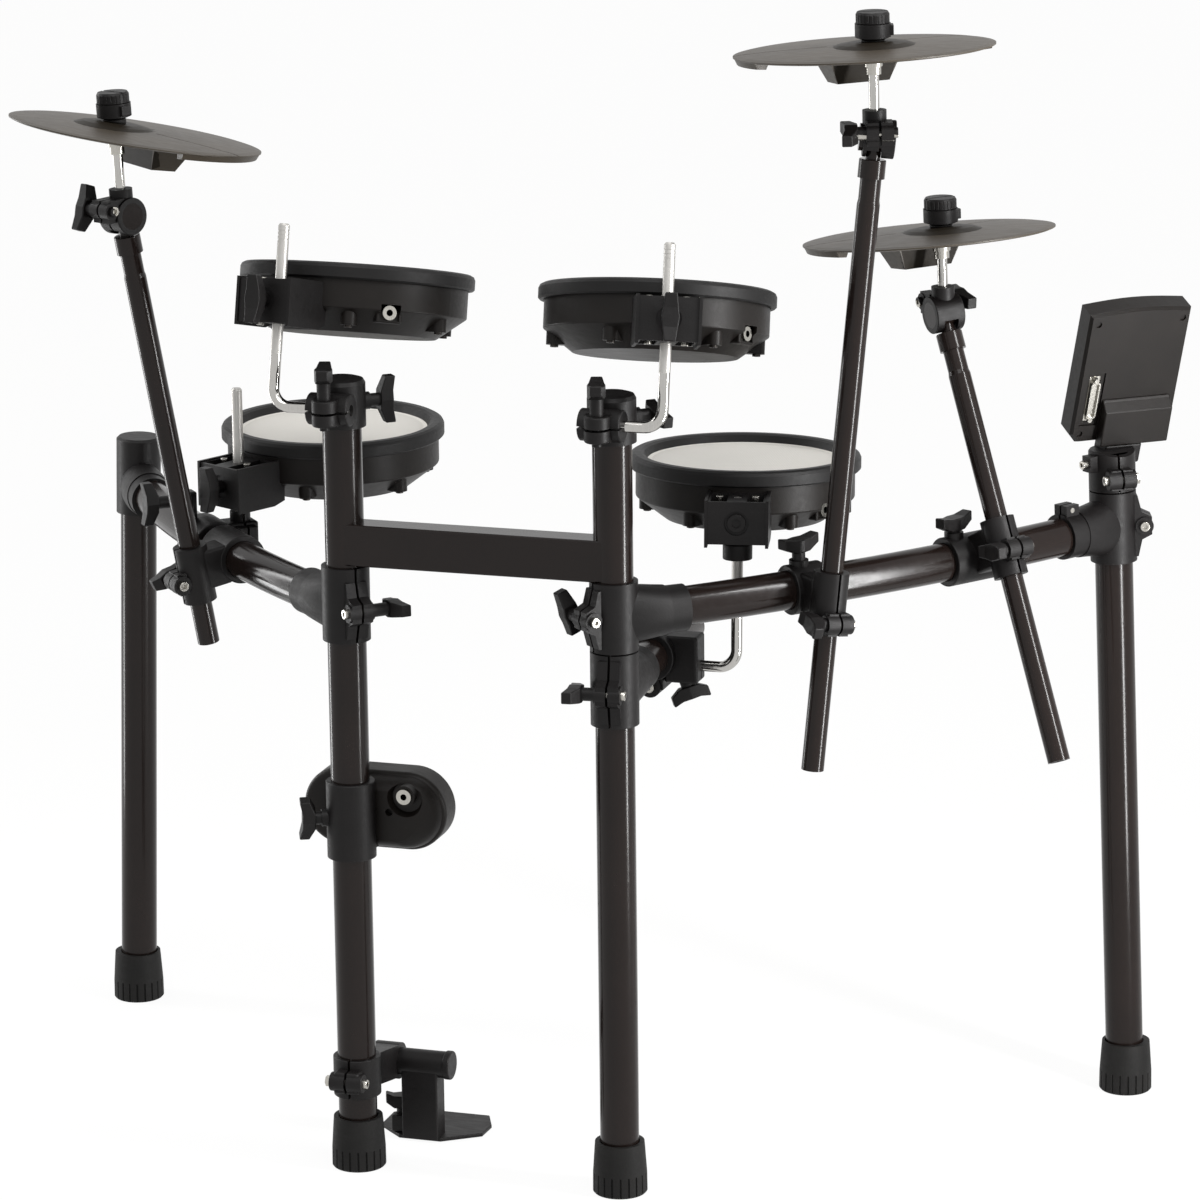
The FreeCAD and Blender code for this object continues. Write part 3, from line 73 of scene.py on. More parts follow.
# Volumes in cubic mm by which a node's loose parts are told apart: all screws lie below the first.
SCREW_LIMIT = 2600.0
LUG_SCREW = (0.0, 200.0)
BRACKET_DISC = (600.0, 700.0)
ROD_HUB = (8000.0, 9500.0)
WING_BOLT = (8500.0, 9500.0)
KICK_FACE = (20000.0, 30000.0)
# Radii of the round spots that get a finish of their own.
JACK_BORE = 3.4 * MM
JACK_RING = 7.7 * MM
CYMBAL_ROD = 5.6 * MM
BOLT_SHANK = 5.4 * MM
# Depths of the module's window behind its panel, along the dial's axis.
WINDOW_DEPTHS = (0.3 * MM, 0.5 * MM)


def linear(hex_colour):
    """sRGB hex to linear RGBA: below 0.04045 a straight line, above it the 2.4 power curve."""
    raw = np.array([int(hex_colour[i:i + 2], 16) for i in (1, 3, 5)]) / 255.0
    low = raw / 12.92
    high = ((raw + 0.055) / 1.055) ** 2.4
    return tuple(float(v) for v in np.where(raw <= 0.04045, low, high)) + (1.0,)


def colour(label, hex_colour, text):
    """A colour property whose default is a hex value."""
    return bpy.props.FloatVectorProperty(name=label, description=text, subtype="COLOR", size=4,
                                         min=0.0, max=1.0, default=linear(hex_colour))


def length(label, value_mm, text):
    """A length property whose default is given in mm."""
    return bpy.props.FloatProperty(name=label, description=text, unit="LENGTH", min=0.01 * MM,
                                   default=value_mm * MM)


class KitColours(bpy.types.PropertyGroup):
    """Colours that a user would change."""

    tube: colour("Tube paint", "#150f0d", "Semi-gloss paint on the rack tubes")
    moulding: colour("Mouldings", "#0b0909", "Clamps, tees and cases")
    shell: colour("Pad shells", "#0f0c0a", "Moulded bowls of the pads")
    hoop: colour("Hoops", "#0b0a0a", "Rubber hoops round the heads")
    cymbal: colour("Cymbal rubber", "#30291f", "Rubber skin of the cymbal pads")
    foot: colour("Feet", "#0d0c0b", "Rubber feet")
    chrome: colour("Chrome", "#bdbbb7", "Plated rods")
    zinc: colour("Screws", "#bab7b0", "Plated screws and jack rings")
    oxide: colour("Lug screws", "#3a3735", "Blackened lug screws")
    mesh: colour("Mesh", "#cdcac3", "Woven heads")
    window: colour("Display", "#0b0c0d", "Display window of the module")
    floor: colour("Floor", "#f4f3f1", "Studio floor")


class KitSizes(bpy.types.PropertyGroup):
    """Sizes that a user would change."""

    thread: length("Mesh thread spacing", 2.4, "Spacing of the head's threads")
    band: length("Head band", 93.0, "Radius from which the cloth is bonded to its ring")
    sag: length("Head sag", 0.4, "How far the middle of a head lies below its edge")
    cloth: length("Head thickness", 0.7, "Thickness of the woven heads")
    washer_bore: length("Washer bore", 5.2, "Inner radius of the washers under the stoppers")
    washer_rim: length("Washer rim", 11.0, "Outer radius of the washers under the stoppers")
    peel: length("Paint ripple", 2.2, "Spacing of the ripple in the tube paint")
    grain: length("Moulded grain", 1.8, "Spacing of the grain on mouldings")


def add(tree, kind, inputs=None, **settings):
    """Adds one node, applies its settings, then sets or links each named input."""
    made = tree.nodes.new(kind)
    for key, value in settings.items():
        setattr(made, key, value)
    for key, value in (inputs or {}).items():
        if isinstance(value, bpy.types.NodeSocket):
            tree.links.new(value, made.inputs[key])
        else:
            made.inputs[key].default_value = value
    return made


def new_finish(name):
    """A new material with an empty node tree."""
    made = bpy.data.materials.new(name)
    made.use_nodes = True
    made.node_tree.nodes.clear()
    return made, made.node_tree


def shaded(tint, factor):
    """A colour times a factor, kept at or below full white."""
    return tuple(min(1.0, c * factor) for c in tint[:3]) + (1.0,)


# Length of the scuffs on moulded and painted pieces, and spacing of the knurl where a pad grips its rod.
SCUFF_LENGTH = 22 * MM
KNURL_SPACING = 1.6 * MM
# Size of the faint stains on the heads, and of the tooth in the floor's paper.
STAIN_SIZE = 60 * MM
PAPER_TOOTH = 300 * MM


def moulded_finish(name, tint, grain, depth, rough, patch=45 * MM, tones=(0.78, 1.4), scuff=0.05,
                   level=0.22):
    """A dielectric: broad patches give the tone, scuffs dull it, and cells of the grain's size raise it."""
    made, tree = new_finish(name)
    where = add(tree, "ShaderNodeTexCoord").outputs["Object"]
    broad = add(tree, "ShaderNodeTexNoise", {"Vector": where, "Scale": 1 / patch, "Detail": 4.0,
                                             "Roughness": 0.6})
    tone = add(tree, "ShaderNodeMapRange", {"Value": broad.outputs["Fac"], "From Min": 0.3, "From Max": 0.7})
    hue = add(tree, "ShaderNodeMix", {0: tone.outputs["Result"], 6: shaded(tint, tones[0]),
                                      7: shaded(tint, tones[1])}, data_type="RGBA")
    streak = add(tree, "ShaderNodeMapping", {"Vector": where, "Rotation": (0.5, 0.3, 0.4),
                                             "Scale": (1.0, 5.0, 5.0)})
    marks = add(tree, "ShaderNodeTexNoise", {"Vector": streak.outputs["Vector"], "Scale": 1 / SCUFF_LENGTH,
                                             "Detail": 6.0, "Roughness": 0.7})
    worn = add(tree, "ShaderNodeMapRange", {"Value": marks.outputs["Fac"], "From Min": 0.56, "From Max": 0.78,
                                            "To Max": scuff})
    base = add(tree, "ShaderNodeMix", {0: worn.outputs["Result"], 6: hue.outputs[2], 7: shaded(tint, 6.0)},
               data_type="RGBA")
    gloss = add(tree, "ShaderNodeMapRange", {"Value": marks.outputs["Fac"], "From Min": 0.3, "From Max": 0.75,
                                             "To Min": rough[0], "To Max": rough[1]})
    cells = add(tree, "ShaderNodeTexVoronoi", {"Vector": where, "Scale": 1 / grain, "Smoothness": 0.6},
                feature="SMOOTH_F1")
    raised = add(tree, "ShaderNodeBump", {"Height": cells.outputs["Distance"], "Distance": depth,
                                          "Strength": 0.7})
    shader = add(tree, "ShaderNodeBsdfPrincipled", {"Base Color": base.outputs[2],
                                                    "Roughness": gloss.outputs["Result"],
                                                    "Normal": raised.outputs["Normal"],
                                                    "Specular IOR Level": level})
    add(tree, "ShaderNodeOutputMaterial", {"Surface": shader.outputs["BSDF"]})
    return made


def plated_finish(name, tint, rough, scratch, border=None):
    """A plated metal: hairlines, forty times as long as wide, dull it, and above the border it is satin."""
    made, tree = new_finish(name)
    where = add(tree, "ShaderNodeTexCoord").outputs["Object"]
    along = add(tree, "ShaderNodeMapping", {"Vector": where, "Scale": (1.0, 1.0, 0.025)})
    hair = add(tree, "ShaderNodeTexNoise", {"Vector": along.outputs["Vector"], "Scale": 1 / scratch,
                                            "Detail": 3.0})
    gloss = add(tree, "ShaderNodeMapRange", {"Value": hair.outputs["Fac"], "From Min": 0.35, "From Max": 0.7,
                                             "To Min": rough[0], "To Max": rough[1]}).outputs["Result"]
    base = add(tree, "ShaderNodeMix", {0: hair.outputs["Fac"], 6: shaded(tint, 1.0), 7: shaded(tint, 0.8)},
               data_type="RGBA")
    height = hair.outputs["Fac"]
    if border is not None:
        level = add(tree, "ShaderNodeSeparateXYZ", {"Vector": where}).outputs["Z"]
        upper = add(tree, "ShaderNodeMapRange", {"Value": level, "From Min": border - 0.6 * MM,
                                                 "From Max": border + 0.6 * MM}).outputs["Result"]
        knurl = add(tree, "ShaderNodeTexVoronoi", {"Vector": where, "Scale": 1 / KNURL_SPACING})
        satin = add(tree, "ShaderNodeMapRange", {"Value": knurl.outputs["Distance"], "To Min": 0.36,
                                                 "To Max": 0.5})
        gloss = add(tree, "ShaderNodeMix", {0: upper, 2: gloss, 3: satin.outputs["Result"]}).outputs[0]
        grip = add(tree, "ShaderNodeMath", {0: upper, 1: knurl.outputs["Distance"]}, operation="MULTIPLY")
        height = add(tree, "ShaderNodeMath", {0: height, 1: grip.outputs[0]}, operation="ADD").outputs[0]
    raised = add(tree, "ShaderNodeBump", {"Height": height, "Distance": 0.02 * MM, "Strength": 0.4})
    shader = add(tree, "ShaderNodeBsdfPrincipled", {"Base Color": base.outputs[2], "Metallic": 1.0,
                                                    "Roughness": gloss, "Normal": raised.outputs["Normal"]})
    add(tree, "ShaderNodeOutputMaterial", {"Surface": shader.outputs["BSDF"]})
    return made


def woven_finish(name, tint, spacing, band):
    """Plain weave: warp and weft are two sine waves across the cloth's own UV, and the higher thread shows.

    Outside the band's radius the cloth is bonded to its ring, and is paler.
    """
    made, tree = new_finish(name)
    where = add(tree, "ShaderNodeUVMap", uv_map="weave").outputs["UV"]
    waves = [add(tree, "ShaderNodeTexWave", {"Vector": where, "Scale": 2 * math.pi / (20 * spacing)},
                 bands_direction=direction).outputs["Fac"] for direction in ("X", "Y")]
    thread = add(tree, "ShaderNodeMath", {0: waves[0], 1: waves[1]}, operation="MAXIMUM")
    reach = add(tree, "ShaderNodeVectorMath", {0: where}, operation="LENGTH").outputs["Value"]
    outer = add(tree, "ShaderNodeMapRange", {"Value": reach, "From Min": band - MM, "From Max": band + MM})
    soil = add(tree, "ShaderNodeTexNoise", {"Vector": where, "Scale": 1 / STAIN_SIZE, "Detail": 3.0})
    cloth = add(tree, "ShaderNodeMix", {0: soil.outputs["Fac"], 6: shaded(tint, 0.95), 7: shaded(tint, 1.05)},
                data_type="RGBA")
    # Painted shade: where both waves are low, between the threads, the colour falls to six tenths of the tint.
    weave = add(tree, "ShaderNodeMix", {0: thread.outputs[0], 6: shaded(tint, 0.6), 7: cloth.outputs[2]},
                data_type="RGBA")
    base = add(tree, "ShaderNodeMix", {0: outer.outputs["Result"], 6: weave.outputs[2],
                                       7: shaded(tint, 1.16)}, data_type="RGBA")
    raised = add(tree, "ShaderNodeBump", {"Height": thread.outputs[0], "Distance": 0.25 * MM,
                                          "Strength": 0.5})
    shader = add(tree, "ShaderNodeBsdfPrincipled", {"Base Color": base.outputs[2], "Roughness": 0.78,
                                                    "Normal": raised.outputs["Normal"], "Sheen Weight": 0.12})
    add(tree, "ShaderNodeOutputMaterial", {"Surface": shader.outputs["BSDF"]})
    return made


FINISHES = {}


def make_finishes(scene):
    """Fills FINISHES with the materials that several pieces share."""
    tint = scene.kit_colours
    size = scene.kit_sizes
    # Powder paint, baked on steel tube: a faint ripple breaks the streak of light along each tube.
    # The ripple of all dull finishes is drawn coarser than the real one, so that it shows.
    FINISHES["tube"] = moulded_finish("baked_powder_paint", tint.tube, size.peel, 0.006 * MM, (0.15, 0.24),
                                      120 * MM, (0.85, 1.2), 0.03, level=0.23)
    # Glass-filled nylon from a spark-eroded mould: even fine grain and a broad soft sheen.
    FINISHES["moulding"] = moulded_finish("grained_nylon", tint.moulding, size.grain, 0.08 * MM,
                                          (0.40, 0.58))
    # ABS from a satin mould: a finer grain, and softer patches of light.
    FINISHES["shell"] = moulded_finish("satin_abs", tint.shell, size.grain * 0.8, 0.05 * MM, (0.38, 0.52),
                                       70 * MM, level=0.18)
    # Moulded rubber: matt, with pale bloom in soft patches.
    FINISHES["hoop"] = moulded_finish("hoop_rubber", tint.hoop, size.grain, 0.05 * MM, (0.44, 0.60),
                                      60 * MM)
    FINISHES["foot"] = moulded_finish("foot_rubber", tint.foot, size.grain * 1.4, 0.12 * MM, (0.55, 0.72),
                                      30 * MM)
    # Chromium plate on drawn rod: mirror bright, with hairlines along it. Zinc plate on screws: duller.
    FINISHES["chrome"] = plated_finish("chromium_plate", tint.chrome, (0.06, 0.20), 0.9 * MM)
    FINISHES["zinc"] = plated_finish("zinc_plate", tint.zinc, (0.18, 0.36), 0.7 * MM)
    # Black oxide on the small lug screws: dark steel with a soft gleam.
    FINISHES["oxide"] = plated_finish("black_oxide", tint.oxide, (0.30, 0.45), 0.6 * MM)
    # Smoked acrylic, polished: a dark window with sharp reflections.
    FINISHES["window"] = moulded_finish("smoked_acrylic", tint.window, 30 * MM, 0.005 * MM, (0.03, 0.08),
                                        80 * MM, (0.9, 1.1), 0.02)
    # Rubber over a moulded core: finely pebbled on the cymbal's bow, and darker and smooth on its bell.
    FINISHES["bow"] = moulded_finish("pebbled_rubber", tint.cymbal, size.grain, 0.06 * MM, (0.42, 0.55),
                                     70 * MM, (0.85, 1.2), 0.0, level=0.42)
    FINISHES["bell"] = moulded_finish("smooth_rubber", shaded(tint.cymbal, 0.35), size.grain, 0.01 * MM,
                                      (0.42, 0.55), 70 * MM, (0.9, 1.1), 0.0, level=0.12)
    # Polyester mesh, woven: pale threads, with painted shade darkening the gaps between them.
    FINISHES["mesh"] = woven_finish("woven_polyester", tint.mesh, size.thread, size.band)


# Corners closer than this count as one.
SAME_PLACE = 0.02 * MM


def parts_of(mesh):
    """Labels each triangle with its loose part: equal corners share a label, and the lowest label spreads."""
    count = len(mesh.vertices)
    place = np.zeros(count * 3, np.float32)
    mesh.vertices.foreach_get("co", place)
    keys = np.round(place.reshape(-1, 3).astype(np.float64) / SAME_PLACE).astype(np.int64)
    corner = np.unique(keys, axis=0, return_inverse=True)[1].ravel()
    loops = np.zeros(len(mesh.loops), np.int32)
    mesh.loops.foreach_get("vertex_index", loops)
    triangle = corner[loops].reshape(-1, 3)
    label = np.arange(corner.max() + 1)
    while True:
        before = label.copy()
        lowest = label[triangle].min(1)
        np.minimum.at(label, triangle.ravel(), np.repeat(lowest, 3))
        label = label[label]
        if np.array_equal(before, label):
            break
    points = place.reshape(-1, 3)[loops].reshape(-1, 3, 3).astype(np.float64)
    return label[triangle[:, 0]], points


def part_volumes(labels, points):
    """Volume of each loose part in cubic mm: signed tetrahedra from the part's first corner, summed."""
    first, index = np.unique(labels, return_index=True, return_inverse=True)[1:]
    a, b, c = np.moveaxis(points - points[first, 0][index][:, None], 1, 0)
    six = np.einsum("ij,ij->i", a, np.cross(b, c))
    return np.abs(np.bincount(index, six)) / 6 * 1e9, index


def near_line(points, start, axis, radius):
    """True for the triangles whose corners all lie within the radius of a line."""
    away = points - np.array(start)
    across = away - (away @ np.array(axis))[..., None] * np.array(axis)
    return (np.linalg.norm(across, axis=-1) < radius).all(1)


def between_planes(points, start, axis, low, high):
    """True for the triangles whose corners all lie from low to high along an axis."""
    along = (points - np.array(start)) @ np.array(axis)
    return ((along > low) & (along < high)).all(1)


def coat_node(name, main, small=None, ranges=(), spots=()):
    """Gives a CAD node its finishes: screws, loose parts in a range of volume, and spots that a test picks.

    A range is a finish and its least and largest volume. A spot is a finish, the finish that it lies on, a
    test and what the test needs.
    """
    mesh = NODES[name].data
    keys = [main] + ([small] if small else []) + [r[0] for r in ranges] + [spot[0] for spot in spots]
    mesh.materials.clear()
    for key in keys:
        mesh.materials.append(FINISHES[key])
    if len(keys) == 1:
        return
    labels, points = parts_of(mesh)
    volume, index = part_volumes(labels, points)
    pick = np.zeros(len(volume), np.int32)
    if small:
        pick[volume < SCREW_LIMIT] = keys.index(small)
    for key, low, high in ranges:
        pick[(volume >= low) & (volume < high)] = keys.index(key)
    shown = pick[index]
    for key, ground, test, *needs in spots:
        shown[test(points, *needs) & (shown == keys.index(ground))] = keys.index(key)
    mesh.polygons.foreach_set("material_index", shown.astype(np.int32))
    mesh.update()


def part_centre(name, low, high):
    """Middle of the box of the node's loose part whose volume in cubic mm lies from low to high."""
    labels, points = parts_of(NODES[name].data)
    volume, index = part_volumes(labels, points)
    corners = points[index == np.flatnonzero((volume > low) & (volume < high))[0]].reshape(-1, 3)
    return (corners.min(0) + corners.max(0)) / 2


def joint_named(name):
    """The frame's joint of that name."""
    return next(joint for joint in FRAME["joints"] if joint["name"] == name)


def mount_named(name):
    """The record's mount of that name."""
    return next(mount for mount in FRAME["record"]["mounts"] if mount["name"] == name)


class KitOperator(bpy.types.Operator):
    bl_options = {"REGISTER", "UNDO"}


class KIT_OT_rack(KitOperator):
    """Paint the tubes, tees and feet"""

    bl_idname = "kit.rack"
    bl_label = "Finish the rack"

    def execute(self, context):
        make_finishes(context.scene)
        for name in ("left_front_post", "right_front_post", "front_crossbar", "left_wing_bar",
                     "right_wing_bar", "left_rear_leg", "right_rear_leg", "snare_arm"):
            coat_node(name, "tube")
        for name in ("left_wing_tees", "right_wing_tees", "snare_tee"):
            coat_node(name, "moulding", "zinc")
        for name in ("front_feet", "left_rear_foot", "right_rear_foot"):
            coat_node(name, "foot")
        return {"FINISHED"}


class KIT_OT_pads(KitOperator):
    """Finish the pads, their rods and clamps"""

    bl_idname = "kit.pads"
    bl_label = "Finish the pads"

    def execute(self, context):
        tint = context.scene.kit_colours.chrome
        for pad in PADS:
            coat_node(pad + "_shell", "shell")
            coat_node(pad + "_hoop", "hoop")
            jack = mount_named(pad + "_jack")
            coat_node(pad + "_fittings", "moulding", "zinc",
                      (("moulding", *BRACKET_DISC), ("oxide", *LUG_SCREW)),
                      (("window", "zinc", near_line, jack["pos_m"], jack["axis"], JACK_BORE),))
            # Chromium plate, polished where the rod bends and knurled satin where the pad grips it.
            FINISHES[pad] = plated_finish(pad + "_rod_plate", tint, (0.05, 0.14), 0.9 * MM, ROD_BORDERS[pad])
            coat_node(pad + "_rod", pad, ranges=(("moulding", *ROD_HUB),))
            coat_node(pad + "_clamp", "moulding", "zinc")
        return {"FINISHED"}


def pad_axis(pad):
    """The pad's own up direction, which is the axis of its height joint."""
    return np.array(joint_named(pad + "_height")["axis"], float)


def disc_frame(pad):
    """Centre, radius and axes of a head: the middle of its node along the pad's axes, at the top face."""
    up = pad_axis(pad)
    side = np.cross(up, (0.0, 1.0, 0.0))
    side /= np.linalg.norm(side)
    back = np.cross(up, side)
    axes = np.stack([side, back, up])
    mesh = NODES[pad + "_head"].data
    place = np.zeros(len(mesh.vertices) * 3, np.float32)
    mesh.vertices.foreach_get("co", place)
    local = place.reshape(-1, 3).astype(np.float64) @ axes.T
    low, high = local.min(0), local.max(0)
    middle = (low + high) / 2
    middle[2] = high[2]
    return middle @ axes, (high[0] - low[0]) / 2, axes


HEAD_RINGS = 40
HEAD_SPOKES = 128


def head_grid(radius, sag):
    """A dished disc: rings and spokes round a middle point, and a dip that falls with the radius squared."""
    share = np.linspace(0.0, 1.0, HEAD_RINGS + 1)[1:]
    turn = np.linspace(0.0, 2 * math.pi, HEAD_SPOKES, endpoint=False)
    ray = np.stack([np.cos(turn), np.sin(turn)], -1)
    flat = (share[:, None, None] * ray).reshape(-1, 2) * radius
    dip = -sag * (1 - (flat ** 2).sum(1) / radius ** 2)
    flat = np.vstack([[[0.0, 0.0]], flat])
    dip = np.concatenate([[-sag], dip])
    step = np.arange(HEAD_SPOKES)
    after = (step + 1) % HEAD_SPOKES
    fan = np.stack([np.zeros(HEAD_SPOKES, int), 1 + step, 1 + after], 1)
    inner = (np.arange(HEAD_RINGS - 1) * HEAD_SPOKES)[:, None] + 1
    outer = inner + HEAD_SPOKES
    quads = np.stack([inner + step, outer + step, outer + after, inner + after], -1)
    return flat, dip, fan.tolist() + quads.reshape(-1, 4).tolist()


class KIT_OT_heads(KitOperator):
    """Stretch a woven head over each pad"""

    bl_idname = "kit.heads"
    bl_label = "Make the heads"

    def execute(self, context):
        size = context.scene.kit_sizes
        for pad in PADS:
            centre, radius, axes = disc_frame(pad)
            flat, dip, faces = head_grid(radius, size.sag)
            points = centre + flat[:, :1] * axes[0] + flat[:, 1:] * axes[1] + dip[:, None] * axes[2]
            mesh = bpy.data.meshes.new(pad + "_woven_head")
            mesh.from_pydata(points.tolist(), [], faces)
            layer = mesh.uv_layers.new(name="weave")
            loops = np.zeros(len(mesh.loops), np.int32)
            mesh.loops.foreach_get("vertex_index", loops)
            layer.data.foreach_set("uv", flat[loops].astype(np.float32).ravel())
            if mesh.polygons[0].normal.dot(axes[2]) < 0:
                mesh.flip_normals()
            mesh.polygons.foreach_set("use_smooth", np.ones(len(mesh.polygons), bool))
            mesh.materials.append(FINISHES["mesh"])
            made = bpy.data.objects.new(pad + "_woven_head", mesh)
            context.scene.collection.objects.link(made)
            cloth = made.modifiers.new("cloth", "SOLIDIFY")
            cloth.thickness = size.cloth
            cloth.offset = -1.0
            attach(made, pad + "_pad")
            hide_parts(pad + "_head")
        return {"FINISHED"}


class KIT_OT_cymbals(KitOperator):
    """Finish the cymbal pads, booms and tilters"""

    bl_idname = "kit.cymbals"
    bl_label = "Finish the cymbals"

    def execute(self, context):
        for name in CYMBALS:
            tilt = joint_named(name + "_tilt")
            hub = joint_named(name + "_rock")["pos_m"]
            pin = np.array(hub) - np.array(tilt["pos_m"])
            pin /= np.linalg.norm(pin)
            coat_node(name + "_cymbal", "bow", spots=(("bell", "bow", near_line, hub, pin, BELL_RADIUS),))
            coat_node(name + "_boom", "tube")
            coat_node(name + "_clamp", "moulding", "zinc")
            wing = part_centre(name + "_tilter", *WING_BOLT)
            coat_node(name + "_tilter", "moulding", "zinc", spots=(
                ("chrome", "moulding", near_line, hub, pin, CYMBAL_ROD),
                ("zinc", "moulding", near_line, wing, tilt["axis"], BOLT_SHANK)))
        return {"FINISHED"}


def facing(name, up):
    """Direction that a cymbal faces: the summed area vectors of its triangles that look up."""
    points = parts_of(NODES[name].data)[1]
    area = np.cross(points[:, 1] - points[:, 0], points[:, 2] - points[:, 0])
    steep = area @ up > 0.5 * np.linalg.norm(area, axis=1)
    total = area[steep].sum(0)
    return total / np.linalg.norm(total)


# The washer's spokes, the fall of its edges, the swell of its side, and its gaps to the bell and the stopper.
WASHER_SPOKES = 64
WASHER_EDGE = 0.4 * MM
WASHER_SWELL = 0.3 * MM
WASHER_FOOT = 0.15 * MM
WASHER_HEAD = 0.1 * MM


def washer_points(hub, pin, normal, gap, inner, outer):
    """A squeezed ring: its foot lies on the bell's plane, its head under the stopper, and its side swells."""
    side = np.cross(pin, (0.0, 1.0, 0.0))
    side /= np.linalg.norm(side)
    back = np.cross(pin, side)
    turn = np.linspace(0.0, 2 * math.pi, WASHER_SPOKES, endpoint=False)
    ray = np.cos(turn)[:, None] * side + np.sin(turn)[:, None] * back
    edge = outer - WASHER_EDGE
    radius = np.array([inner, edge, outer, outer + WASHER_SWELL, outer, edge, inner])
    share = np.array([0.0, 0.0, 0.15, 0.5, 0.85, 1.0, 1.0])
    foot = -radius[None, :] * (ray @ normal)[:, None] / (pin @ normal) + WASHER_FOOT
    head = gap - WASHER_HEAD
    rise = foot + share[None, :] * (head - foot)
    return hub + ray[:, None, :] * radius[None, :, None] + rise[..., None] * pin


class KIT_OT_washers(KitOperator):
    """Seat a rubber washer between each cymbal and its stopper"""

    bl_idname = "kit.washers"
    bl_label = "Seat the washers"

    def execute(self, context):
        size = context.scene.kit_sizes
        for name in CYMBALS:
            tilt = np.array(joint_named(name + "_tilt")["pos_m"])
            pivot = np.array(joint_named(name + "_rock")["pos_m"])
            pin = (pivot - tilt) / np.linalg.norm(pivot - tilt)
            hub = pivot + HUB_DEPTH * pin
            normal = facing(name + "_cymbal", pin)
            gap = STOPPER_GAPS[name]
            grid = washer_points(hub, pin, normal, gap, size.washer_bore, size.washer_rim)
            around, along = grid.shape[:2]
            index = np.arange(around * along).reshape(around, along)
            after = np.roll(index, -1, 0)
            faces = np.stack([index, after, np.roll(after, -1, 1), np.roll(index, -1, 1)], -1).reshape(-1, 4)
            mesh = bpy.data.meshes.new(name + "_washer")
            mesh.from_pydata(grid.reshape(-1, 3).tolist(), [], faces.tolist())
            mesh.polygons.foreach_set("use_smooth", np.ones(len(mesh.polygons), bool))
            mesh.materials.append(FINISHES["foot"])
            made = bpy.data.objects.new(name + "_washer", mesh)
            context.scene.collection.objects.link(made)
            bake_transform(made)
        return {"FINISHED"}


class KIT_OT_module(KitOperator):
    """Finish the sound module and its holder"""

    bl_idname = "kit.module"
    bl_label = "Finish the module"

    def execute(self, context):
        coat_node("module_rear_case", "shell", "zinc")
        dial = joint_named("module_dial_turn")
        coat_node("module_front_panel", "shell", "zinc", spots=(
            ("window", "shell", between_planes, dial["pos_m"], dial["axis"], *WINDOW_DEPTHS),))
        coat_node("module_holder", "moulding", "zinc")
        for name in ("module_dial", "module_left_button", "module_right_button"):
            coat_node(name, "hoop")
        return {"FINISHED"}


class KIT_OT_kick(KitOperator):
    """Finish the kick trigger and the pedal bracket"""

    bl_idname = "kit.kick"
    bl_label = "Finish the kick trigger"

    def execute(self, context):
        jack = mount_named("kick_jack")
        coat_node("kick_pad", "shell", "zinc", ranges=(("hoop", *KICK_FACE),),
                  spots=(("zinc", "shell", near_line, jack["pos_m"], jack["axis"], JACK_RING),
                         ("window", "zinc", near_line, jack["pos_m"], jack["axis"], JACK_BORE)))
        coat_node("kick_holder", "moulding", "zinc")
        coat_node("pedal_clamp", "moulding", "zinc")
        coat_node("pedal_plate", "moulding")
        return {"FINISHED"}


# The camera's place in metres, its turns in degrees, and its lens and sensor in mm.
CAMERA_PLACE = (1.64381, -5.00304, 1.90155)
CAMERA_YAW = 17.7636
CAMERA_PITCH = 14.5328
CAMERA_ROLL = 0.6759
CAMERA_LENS = 163.54
SENSOR = 36.0
CAMERA_REACH = 100.0
# Half the floor's side in metres, the share of it that shows as plain white, and the light of the room.
FLOOR_REACH = 14.0
FLOOR_WHITE = 0.92
ROOM_LIGHT = 0.75
# Each lamp's place, what it faces and its sides, in metres, and its power in watts.
LAMPS = {
    "right_strip": ((1.27, -0.27, 1.02), (0.0, -0.1, 1.02), (0.1, 2.0), 36.0),
    "left_strip": ((-1.35, 0.2, 1.02), (0.0, -0.1, 1.02), (0.14, 2.0), 10.0),
    "top_lamp": ((0.4, -1.4, 3.2), (0.0, 0.0, 0.6), (2.0, 2.0), 40.0),
}


def camera_turn():
    """Rotation whose columns are right, up and back: yaw about the vertical, then pitch down, then roll."""
    yaw, pitch, roll = (math.radians(v) for v in (CAMERA_YAW, CAMERA_PITCH, CAMERA_ROLL))
    ahead = np.array([-math.sin(yaw) * math.cos(pitch), math.cos(yaw) * math.cos(pitch), -math.sin(pitch)])
    level = np.array([math.cos(yaw), math.sin(yaw), 0.0])
    down = np.cross(ahead, level)
    right = math.cos(roll) * level + math.sin(roll) * down
    lower = -math.sin(roll) * level + math.cos(roll) * down
    return Matrix(np.stack([right, -lower, -ahead], 1).tolist()).to_4x4()


def soft_light(name, place, target, sides, power):
    """A rectangular lamp that faces its target, with its long side upright."""
    data = bpy.data.lights.new(name, "AREA")
    data.shape = "RECTANGLE"
    data.size, data.size_y = sides
    data.energy = power
    lamp = bpy.data.objects.new(name, data)
    lamp.location = place
    lamp.rotation_euler = (Vector(target) - Vector(place)).to_track_quat("-Z", "Y").to_euler()
    bpy.context.scene.collection.objects.link(lamp)


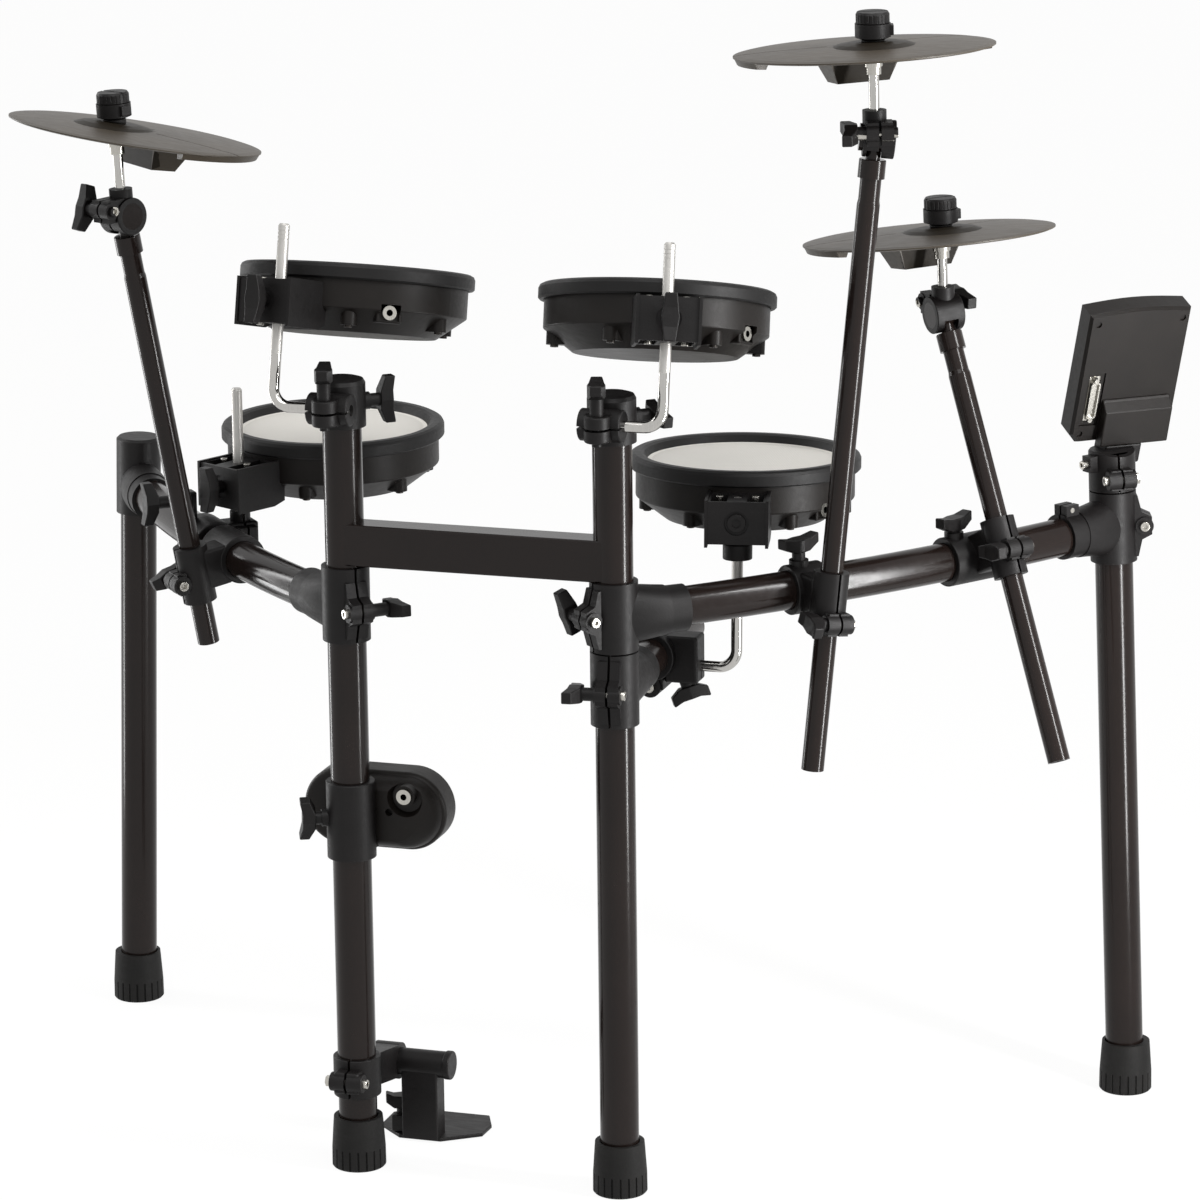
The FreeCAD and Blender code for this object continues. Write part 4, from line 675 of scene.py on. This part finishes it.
def paper_finish(tint):
    """White paper: matt for the light that falls on it, and plain white for the camera and reflections."""
    made, tree = new_finish("white_paper")
    path = add(tree, "ShaderNodeLightPath")
    where = add(tree, "ShaderNodeTexCoord").outputs["Object"]
    tooth = add(tree, "ShaderNodeTexNoise", {"Vector": where, "Scale": 1 / PAPER_TOOTH, "Detail": 3.0})
    matt = add(tree, "ShaderNodeMapRange", {"Value": tooth.outputs["Fac"], "To Min": 0.75, "To Max": 0.95})
    paper = add(tree, "ShaderNodeBsdfPrincipled", {"Base Color": tint, "Roughness": matt.outputs["Result"]})
    glow = add(tree, "ShaderNodeEmission", {"Color": (1, 1, 1, 1), "Strength": 1.0})
    seen = add(tree, "ShaderNodeMath", {0: path.outputs["Is Camera Ray"], 1: path.outputs["Is Glossy Ray"]},
               operation="MAXIMUM")
    part = add(tree, "ShaderNodeMath", {0: seen.outputs[0], 1: FLOOR_WHITE}, operation="MULTIPLY")
    both = add(tree, "ShaderNodeMixShader", {0: part.outputs[0], 1: paper.outputs["BSDF"],
                                             2: glow.outputs["Emission"]})
    add(tree, "ShaderNodeOutputMaterial", {"Surface": both.outputs["Shader"]})
    return made


def white_room():
    world = bpy.data.worlds.new("white_room")
    world.use_nodes = True
    tree = world.node_tree
    tree.nodes.clear()
    path = add(tree, "ShaderNodeLightPath")
    seen = add(tree, "ShaderNodeMath", {0: path.outputs["Is Camera Ray"], 1: path.outputs["Is Glossy Ray"]},
               operation="MAXIMUM")
    seen = add(tree, "ShaderNodeMath", {0: seen.outputs[0], 1: path.outputs["Is Transmission Ray"]},
               operation="MAXIMUM")
    level = add(tree, "ShaderNodeMapRange", {"Value": seen.outputs[0], "To Min": ROOM_LIGHT, "To Max": 1.0})
    room = add(tree, "ShaderNodeBackground", {"Color": (1, 1, 1, 1), "Strength": level.outputs["Result"]})
    add(tree, "ShaderNodeOutputWorld", {"Surface": room.outputs["Background"]})
    return world


class KIT_OT_stage(KitOperator):
    """Lay the pale floor, hang the lamps and set the camera"""

    bl_idname = "kit.stage"
    bl_label = "Set the stage"

    def execute(self, context):
        scene = context.scene
        scene.view_settings.view_transform = "Standard"
        corners = [(x * FLOOR_REACH, y * FLOOR_REACH, 0.0) for x, y in ((-1, -1), (1, -1), (1, 1), (-1, 1))]
        mesh = bpy.data.meshes.new("studio_floor")
        mesh.from_pydata(corners, [], [(0, 1, 2, 3)])
        mesh.materials.append(paper_finish(scene.kit_colours.floor))
        floor = bpy.data.objects.new("studio_floor", mesh)
        scene.collection.objects.link(floor)
        scene.world = white_room()
        for name, lamp in LAMPS.items():
            soft_light(name, *lamp)
        data = bpy.data.cameras.new("photo_camera")
        data.lens = CAMERA_LENS
        data.sensor_width = SENSOR
        data.clip_end = CAMERA_REACH
        camera = bpy.data.objects.new("photo_camera", data)
        camera.matrix_world = Matrix.Translation(CAMERA_PLACE) @ camera_turn()
        scene.collection.objects.link(camera)
        scene.camera = camera
        return {"FINISHED"}


STEPS = (KIT_OT_rack, KIT_OT_pads, KIT_OT_heads, KIT_OT_cymbals, KIT_OT_washers, KIT_OT_module,
         KIT_OT_kick, KIT_OT_stage)


class KIT_PT_panel(bpy.types.Panel):
    bl_idname = "KIT_PT_panel"
    bl_label = "Drum kit"
    bl_space_type = "VIEW_3D"
    bl_region_type = "UI"
    bl_category = "Drum kit"

    def draw(self, context):
        for step in STEPS:
            self.layout.operator(step.bl_idname)


CLASSES = (KitColours, KitSizes) + STEPS + (KIT_PT_panel,)


def register():
    for item in CLASSES:
        bpy.utils.register_class(item)
    bpy.types.Scene.kit_colours = bpy.props.PointerProperty(type=KitColours)
    bpy.types.Scene.kit_sizes = bpy.props.PointerProperty(type=KitSizes)


def unregister():
    del bpy.types.Scene.kit_colours
    del bpy.types.Scene.kit_sizes
    for item in reversed(CLASSES):
        bpy.utils.unregister_class(item)


def main():
    register()
    for step in STEPS:
        group, name = step.bl_idname.split(".")
        getattr(getattr(bpy.ops, group), name)()
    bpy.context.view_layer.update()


if __name__ == "__main__":
    main()
